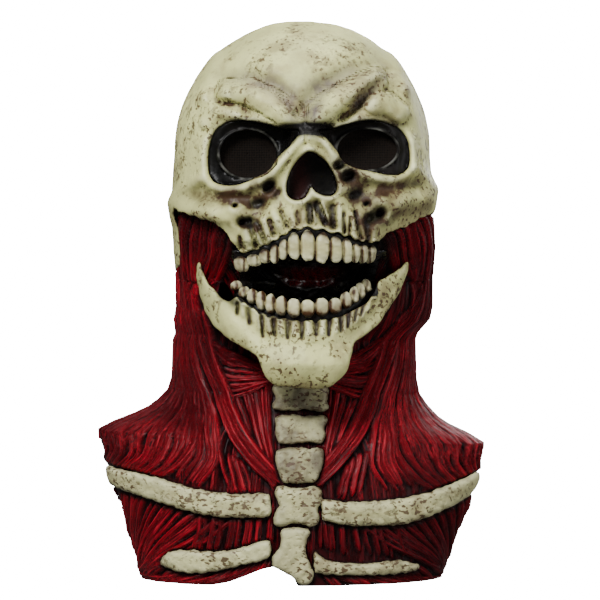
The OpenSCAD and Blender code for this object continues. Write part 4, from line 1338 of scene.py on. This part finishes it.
def make_skin(name, a, z, lift=0.0, closed=False, band=None, thin=1.0, soot=None, surface=None):
    """A muscle skin over grids of angle and level, [column, row]: its outside takes the strands' height.

    It lies on the body, or on the surface given. Lift raises it, and a function of its points adds black
    paint, over the painted shadow round the bones.
    """
    height = 0.85 * MUSCLES.sample(MUSCLES.height, a, z) * thin
    if surface:
        outside, inside = surface(height + SKIN_TOP + lift), surface(SKIN_INSIDE + lift)
        verts = np.concatenate([outside.reshape(-1, 3), inside.reshape(-1, 3)])
    else:
        outside, inside = on_body(a, z, height + SKIN_TOP + lift), on_body(a, z, SKIN_INSIDE + lift)
        verts = settled(np.concatenate([outside.reshape(-1, 3), inside.reshape(-1, 3)]))
    paint = {}
    for key in ("groove", "ridge", "tone", "across", "run"):
        values = MUSCLES.sample(getattr(MUSCLES, key), a, z)
        # The inside faces get a groove mark of 0.6: painted shade inside the skin
        paint[key] = np.concatenate([values.ravel(), np.full(a.size, 0.6 if key == "groove" else 0.0)])
    # Black from the painted shadow round the bones and the paint given; the inside faces get painted shade
    dark = np.maximum(MUSCLES.sample(MUSCLES.shade, a, z), soot(outside) if soot else 0)
    paint["soot"] = np.concatenate([np.broadcast_to(dark, a.shape).ravel(), np.full(a.size, 0.85)])
    quads = grid_quads(a.shape[0], a.shape[1], closed)
    sheets = 2 * (a.shape[0] - (0 if closed else 1)) * (a.shape[1] - 1)
    piece = build(name, verts, quads, FLESH, paint, crisp=len(quads) - sheets)
    seat(piece, name, band=band)


# Levels by angle: the neck skin's upper edge, and the border between cheek skin and under-chin skin
NECK_TOP = [(0, 178), (20, 182), (34, 193), (50, 199), (62, 202), (70, 232), (74, 237), (109, 237),
            (111, 246), (118, 240), (124, 239), (180, 239)]
JAW_SEAM = [(0, 168), (16, 166), (19, 172), (22, 187), (33, 197), (44, 207), (50, 219), (53, 227),
            (58, 239), (180, 239)]


NECK_LOW, BIB_TOP = 149.2, 150.6      # the neck skin and the two flaps overlap by this little


def make_neck():
    """The neck skin, a closed sleeve."""
    angles = np.linspace(-180, 180, int(640 / FINE), endpoint=False)
    top = row(np.abs(angles), NECK_TOP) + 1.0
    t = np.linspace(0, 1, int(92 / FINE))
    z = NECK_LOW + (top[:, None] - NECK_LOW) * t[None, :]
    make_skin("neck_skin", np.broadcast_to(angles[:, None], z.shape), z, closed=True)


def rim_level(x):
    """The front flap's lower edge: it rises towards the breastbone on the left side."""
    return np.where(x < -4, 15 * ramp(x, -92, -28) * (1 - ramp(x, -16, -4)), 0) + 0.5


def make_bib(name, facing):
    """A flap over the shoulders, round the angle that it faces."""
    spacing = FINE * (1 if facing == 0 else 1.3)
    k = np.linspace(-1, 1, int((380 if facing == 0 else 400) / spacing))[:, None]
    t = np.linspace(0, 1, int(188 / spacing))[None, :]
    x_low = 118 * np.sin(np.radians(k * 80)) - 8
    low = rim_level(x_low) if facing == 0 else 0.8 + 0.5 * np.sin(k * 9)
    z = low + (BIB_TOP - low) * t
    a = facing + k * row(z, FLAP)
    a = np.where(a > 180, a - 360, a)
    make_skin(name, a, z)


CHEEK_BACK = 112       # angle of the cheek skins' back edge
CHEEK_FRONT = [(205, 51), (226, 47), (236, 45), (256, 39.5), (264, 35.5), (290, 33.5)]   # angle by level


def make_cheek(name, side):
    """The skin from the cheekbone down past the jaw, tucked under its neighbours at the edges."""
    s = np.linspace(0, 1, int(110 / FINE))[:, None]
    t = np.linspace(0, 1, int(84 / FINE))[None, :]
    top_a = 33.5 + (CHEEK_BACK - 33.5) * s
    low_a = 50 + (CHEEK_BACK - 50) * s
    top_z = skull_border(side * top_a) + 3.5
    low_z = row(low_a, JAW_SEAM) - 4.0
    z = low_z + (top_z - low_z) * t
    front = row(z, CHEEK_FRONT)
    a = front + (CHEEK_BACK - front) * s
    tuck = -5.5 * (1 - ramp(a, 54, 66)) - 4.5 * ramp(z, top_z - 7, top_z - 1)
    tuck = tuck - 3.0 * (1 - ramp(z, low_z, low_z + 3))
    a = side * a
    if side < 0:
        a, z, tuck = a[::-1], z[::-1], tuck[::-1]
    make_skin(name, a, z, lift=tuck, band=JAW_BAND, soot=lambda p: (1 - ramp(np.abs(a), 38, 50)) * 0.8)


def make_under_chin():
    """The skin from the jaw's lower border back to the throat."""
    angles = np.linspace(-73, 73, int(220 / FINE))[:, None]
    t = np.linspace(0, 1, int(50 / FINE))[None, :]
    b = np.abs(angles)
    z_from, z_to = row(b, JAW_SEAM) + 2, row(b, NECK_TOP) - 1.5
    start = polar(angles, jaw_r(angles, z_from) - 4.4, z_from)
    on_neck = settled(on_body(angles, z_from, -4.5))
    share = ramp(b, 50, 58)[..., None]
    start = start * (1 - share) + on_neck * share
    end = settled(on_body(angles, z_to, 0.6 - 2.0 * ramp(b, 60, 70)))
    a = np.broadcast_to(angles, (len(angles), t.shape[1]))
    z = z_to + (z_from - z_to) * t

    def surface(off):
        place = end + (start - end) * t[..., None]
        bulge = np.sin(t * math.pi)[..., None] * 2.5
        return place + polar(a, 0.8, -0.6) * (np.asarray(off)[..., None] + bulge)

    m = np.array([0, 0.8, -0.6])
    make_skin("under_chin_skin", a, z, surface=surface, thin=0.8,
              band=("jaw", "mask", tuple(m * -0.172), tuple(m * -0.152)))


make_neck()
make_bib("chest_bib", 0)
make_bib("back_bib", 180)
make_cheek("cheek_skin_left", -1)
make_cheek("cheek_skin_right", 1)
make_under_chin()
for seed, name in enumerate(BONES):
    make_bone(name, 20 + 3 * seed)


# ---------------------------------------------------------------- mouth lining, eye screens and foam


def sheet_quads(name, outside, inside, material, paint=None, closed=False):
    """A piece between two grids of points, [column, row]."""
    verts = np.concatenate([outside.reshape(-1, 3), inside.reshape(-1, 3)])
    return build(name, verts, grid_quads(outside.shape[0], outside.shape[1], closed), material, paint)


def make_lining():
    """The folded black latex behind the open mouth, red in its middle."""
    a = np.linspace(-46, 46, int(130 / FINE))[:, None]
    t = np.linspace(0, 1, int(84 / FINE))[None, :]
    z = row(np.abs(a), NECK_TOP) + 2.5
    z = z + (262 - z) * t
    fold = 4.0 * np.exp(-(((z - 231 - 0.02 * a * a) / 4.0) ** 2)) - 3.0 * np.exp(-(((z - 243) / 7.0) ** 2))
    fold = fold + 1.6 * mixed(31, a * 1.4, z, scale=15, octaves=3)
    off = -6.5 + fold * np.exp(-((a / 34) ** 2))
    outside, inside = settled(on_body(a, z, off)), settled(on_body(a, z, off - WALL))
    red = np.exp(-(((a - 1) / 17) ** 4)) * ramp(z, 232, 236) * (1 - ramp(z, 246, 251))
    red = red * (0.75 + 0.5 * mixed(32, a * 1.4, z, scale=9, octaves=2))
    red = np.concatenate([np.broadcast_to(red, z.shape).ravel(), np.zeros(z.size)])
    lining = sheet_quads("mouth_lining", outside, inside, WET, {"red": np.clip(red, 0, 1)})
    seat(lining, "mouth_lining", band=("mask", "jaw", (0, 0, 0.256), (0, 0, 0.214)))


def make_screen(name, centre, half):
    """A slightly domed disc of perforated sheet behind the socket's opening."""
    turns = np.radians(np.linspace(0, 360, 72, endpoint=False))[:, None]
    reach = np.linspace(1, 0.001, 24)[None, :]
    x = centre[0] + (half[0] + 3.5) * reach * np.cos(turns)
    z = centre[1] + (half[1] + 3.5) * reach * np.sin(turns)
    y = -72.4 + 1.5 * (1 - reach**2)
    outside = np.stack(np.broadcast_arrays(x, y, z), -1)
    seat(sheet_quads(name, outside, outside + (0, 0.8, 0), SCREEN, closed=True), name)


def on_skull(angle, low, share, off):
    """Point of the skull surface, share running from 0 at level low to 1 at the pole."""
    start = math.degrees(math.asin((DOME_Z - low) / DOME_H))
    rise = np.radians(share * (90 + start) - start)
    z = DOME_Z + (DOME_H + np.where(rise > 0, off, 0)) * np.sin(rise)
    return polar(angle, body_r(angle, z, off), z)


PAD_DEPTH = -10.0      # middle of a foam pad, inward from the outer surface


def make_pad(name, body, place, columns, rows, closed=False):
    """A foam pad with rounded edges: place(u, v, depth) gives its points, u and v running from -1 to 1."""
    u = np.linspace(-1, 1, columns, endpoint=not closed)[:, None]
    v = np.linspace(-1, 1, rows)[None, :]
    rim = np.clip(1 - (np.maximum(-v, 0) if closed else np.abs(v)) ** 12, 0, 1)
    if not closed:
        rim = rim * np.clip(1 - np.abs(u) ** 12, 0, 1)
    plump = rim**0.4
    dents = 0.35 * mixed(len(name), u * 3, v * 3, scale=1.2, octaves=2)
    outside = place(u, v, PAD_DEPTH + (4.4 + dents) * plump)
    inside = place(u, v, PAD_DEPTH - (4.6 + dents) * plump)
    pad = sheet_quads(name, outside, inside, FOAM, closed=closed)
    seat(pad, name, body)


def make_pads():
    """Five pads on the inside of the skull, and the cup on the wearer's chin."""
    def on_head(middle, half, low, first, last):
        centre, reach = (first + last) / 2, (last - first) / 2
        return lambda u, v, off: on_skull(middle + half * u, low, centre + reach * v, off)

    def on_chin(u, v, off):
        level = 191.5 + 8 * v
        return polar(15 * u, jaw_r(15 * u, level) + off + 0.8, level)

    make_pad("forehead_pad", "mask", on_head(0, 33.5, 281, 0.662, 0.748), 64, 20)
    make_pad("temple_pad_left", "mask", on_head(-92, 15.5, 287, 0.505, 0.655), 44, 26)
    make_pad("temple_pad_right", "mask", on_head(92, 15.5, 287, 0.505, 0.655), 44, 26)
    make_pad("nape_pad", "mask", on_head(180, 29.5, 238, 0.285, 0.455), 64, 40)
    make_pad("crown_pad", "mask", on_head(180, 180, 281, 0.86, 0.9995), 96, 30, closed=True)
    make_pad("chin_cup", "jaw", on_chin, 40, 26)


make_lining()
for name, (centre, half) in zip(("eye_screen_left", "eye_screen_right"), PUPILS):
    make_screen(name, centre, half)
make_pads()


# ---------------------------------------------------------------- floor, light and camera


def stage_paint():
    """Pale floor: mostly its own soft white, with the object's shadow still showing."""
    paint = bpy.data.materials.new("floor")
    paint.use_nodes = True
    main = paint.node_tree.nodes["Principled BSDF"]
    main.inputs["Base Color"].default_value = (0.85, 0.85, 0.85, 1)
    main.inputs["Roughness"].default_value = 0.8
    main.inputs["Emission Color"].default_value = (1, 1, 1, 1)
    main.inputs["Emission Strength"].default_value = 25.0
    return paint


# Name, place in metres, power in watts, width in metres
LAMPS = (("key", (-0.75, -1.35, 1.45), 50, 0.6), ("fill", (1.5, -1.1, 0.55), 11.5, 1.2),
         ("top", (0.15, 0.15, 1.7), 12, 0.7), ("back", (0.9, 1.5, 0.9), 14, 1.0))


def studio():
    """White surroundings, a pale floor that curves up into a wall, and four lamps."""
    world = bpy.data.worlds.new("studio")
    bpy.context.scene.world = world
    world.use_nodes = True
    world.node_tree.nodes["Background"].inputs[0].default_value = (1, 1, 1, 1)
    world.node_tree.nodes["Background"].inputs[1].default_value = 0.19
    turns = np.linspace(0, 2 * math.pi, 64, endpoint=False)
    rings = ((0.01, 0.0), (4.0, 0.0), (5.2, 0.25), (6.0, 1.2), (6.2, 6.0))
    points = [(r * math.cos(t), r * math.sin(t), z) for r, z in rings for t in turns]
    faces = [(k * 64 + c, k * 64 + (c + 1) % 64, (k + 1) * 64 + (c + 1) % 64, (k + 1) * 64 + c)
             for k in range(len(rings) - 1) for c in range(64)]
    faces.append(tuple(range(64)))
    mesh = bpy.data.meshes.new("floor")
    mesh.from_pydata(points, [], faces)
    mesh.materials.append(stage_paint())
    floor = bpy.data.objects.new("floor", mesh)
    bpy.context.scene.collection.objects.link(floor)
    # Seen, and shaded by the object, but it throws no light of its own on the object
    floor.visible_diffuse = floor.visible_glossy = floor.visible_shadow = False
    for name, spot, energy, size in LAMPS:
        lamp = bpy.data.lights.new(name, "AREA")
        lamp.energy, lamp.size = energy, size
        light = bpy.data.objects.new(name, lamp)
        light.location = spot
        aim = bpy.data.objects.new(name + "_aim", None)
        aim.location = (0, 0, 0.25)
        for o in (light, aim):
            bpy.context.scene.collection.objects.link(o)
        look = light.constraints.new("TRACK_TO")
        look.target, look.track_axis, look.up_axis = aim, "TRACK_NEGATIVE_Z", "UP_Y"


def place_camera():
    """The camera stands a little to the viewer's left of straight ahead, with a long lens."""
    data = bpy.data.cameras.new("camera")
    camera = bpy.data.objects.new("camera", data)
    bpy.context.scene.collection.objects.link(camera)
    bpy.context.scene.camera = camera
    away, yaw, rise = 3.0, math.radians(-2.5), math.radians(2)
    data.sensor_width, data.lens = 36, 36 * away / 0.48
    middle = (-0.0016, 0.0, 0.221)
    camera.location = (middle[0] + away * math.sin(yaw), -away * math.cos(yaw),
                       middle[2] + away * math.sin(rise))
    camera.rotation_euler = (math.pi / 2 - rise, 0, yaw)


studio()
place_camera()
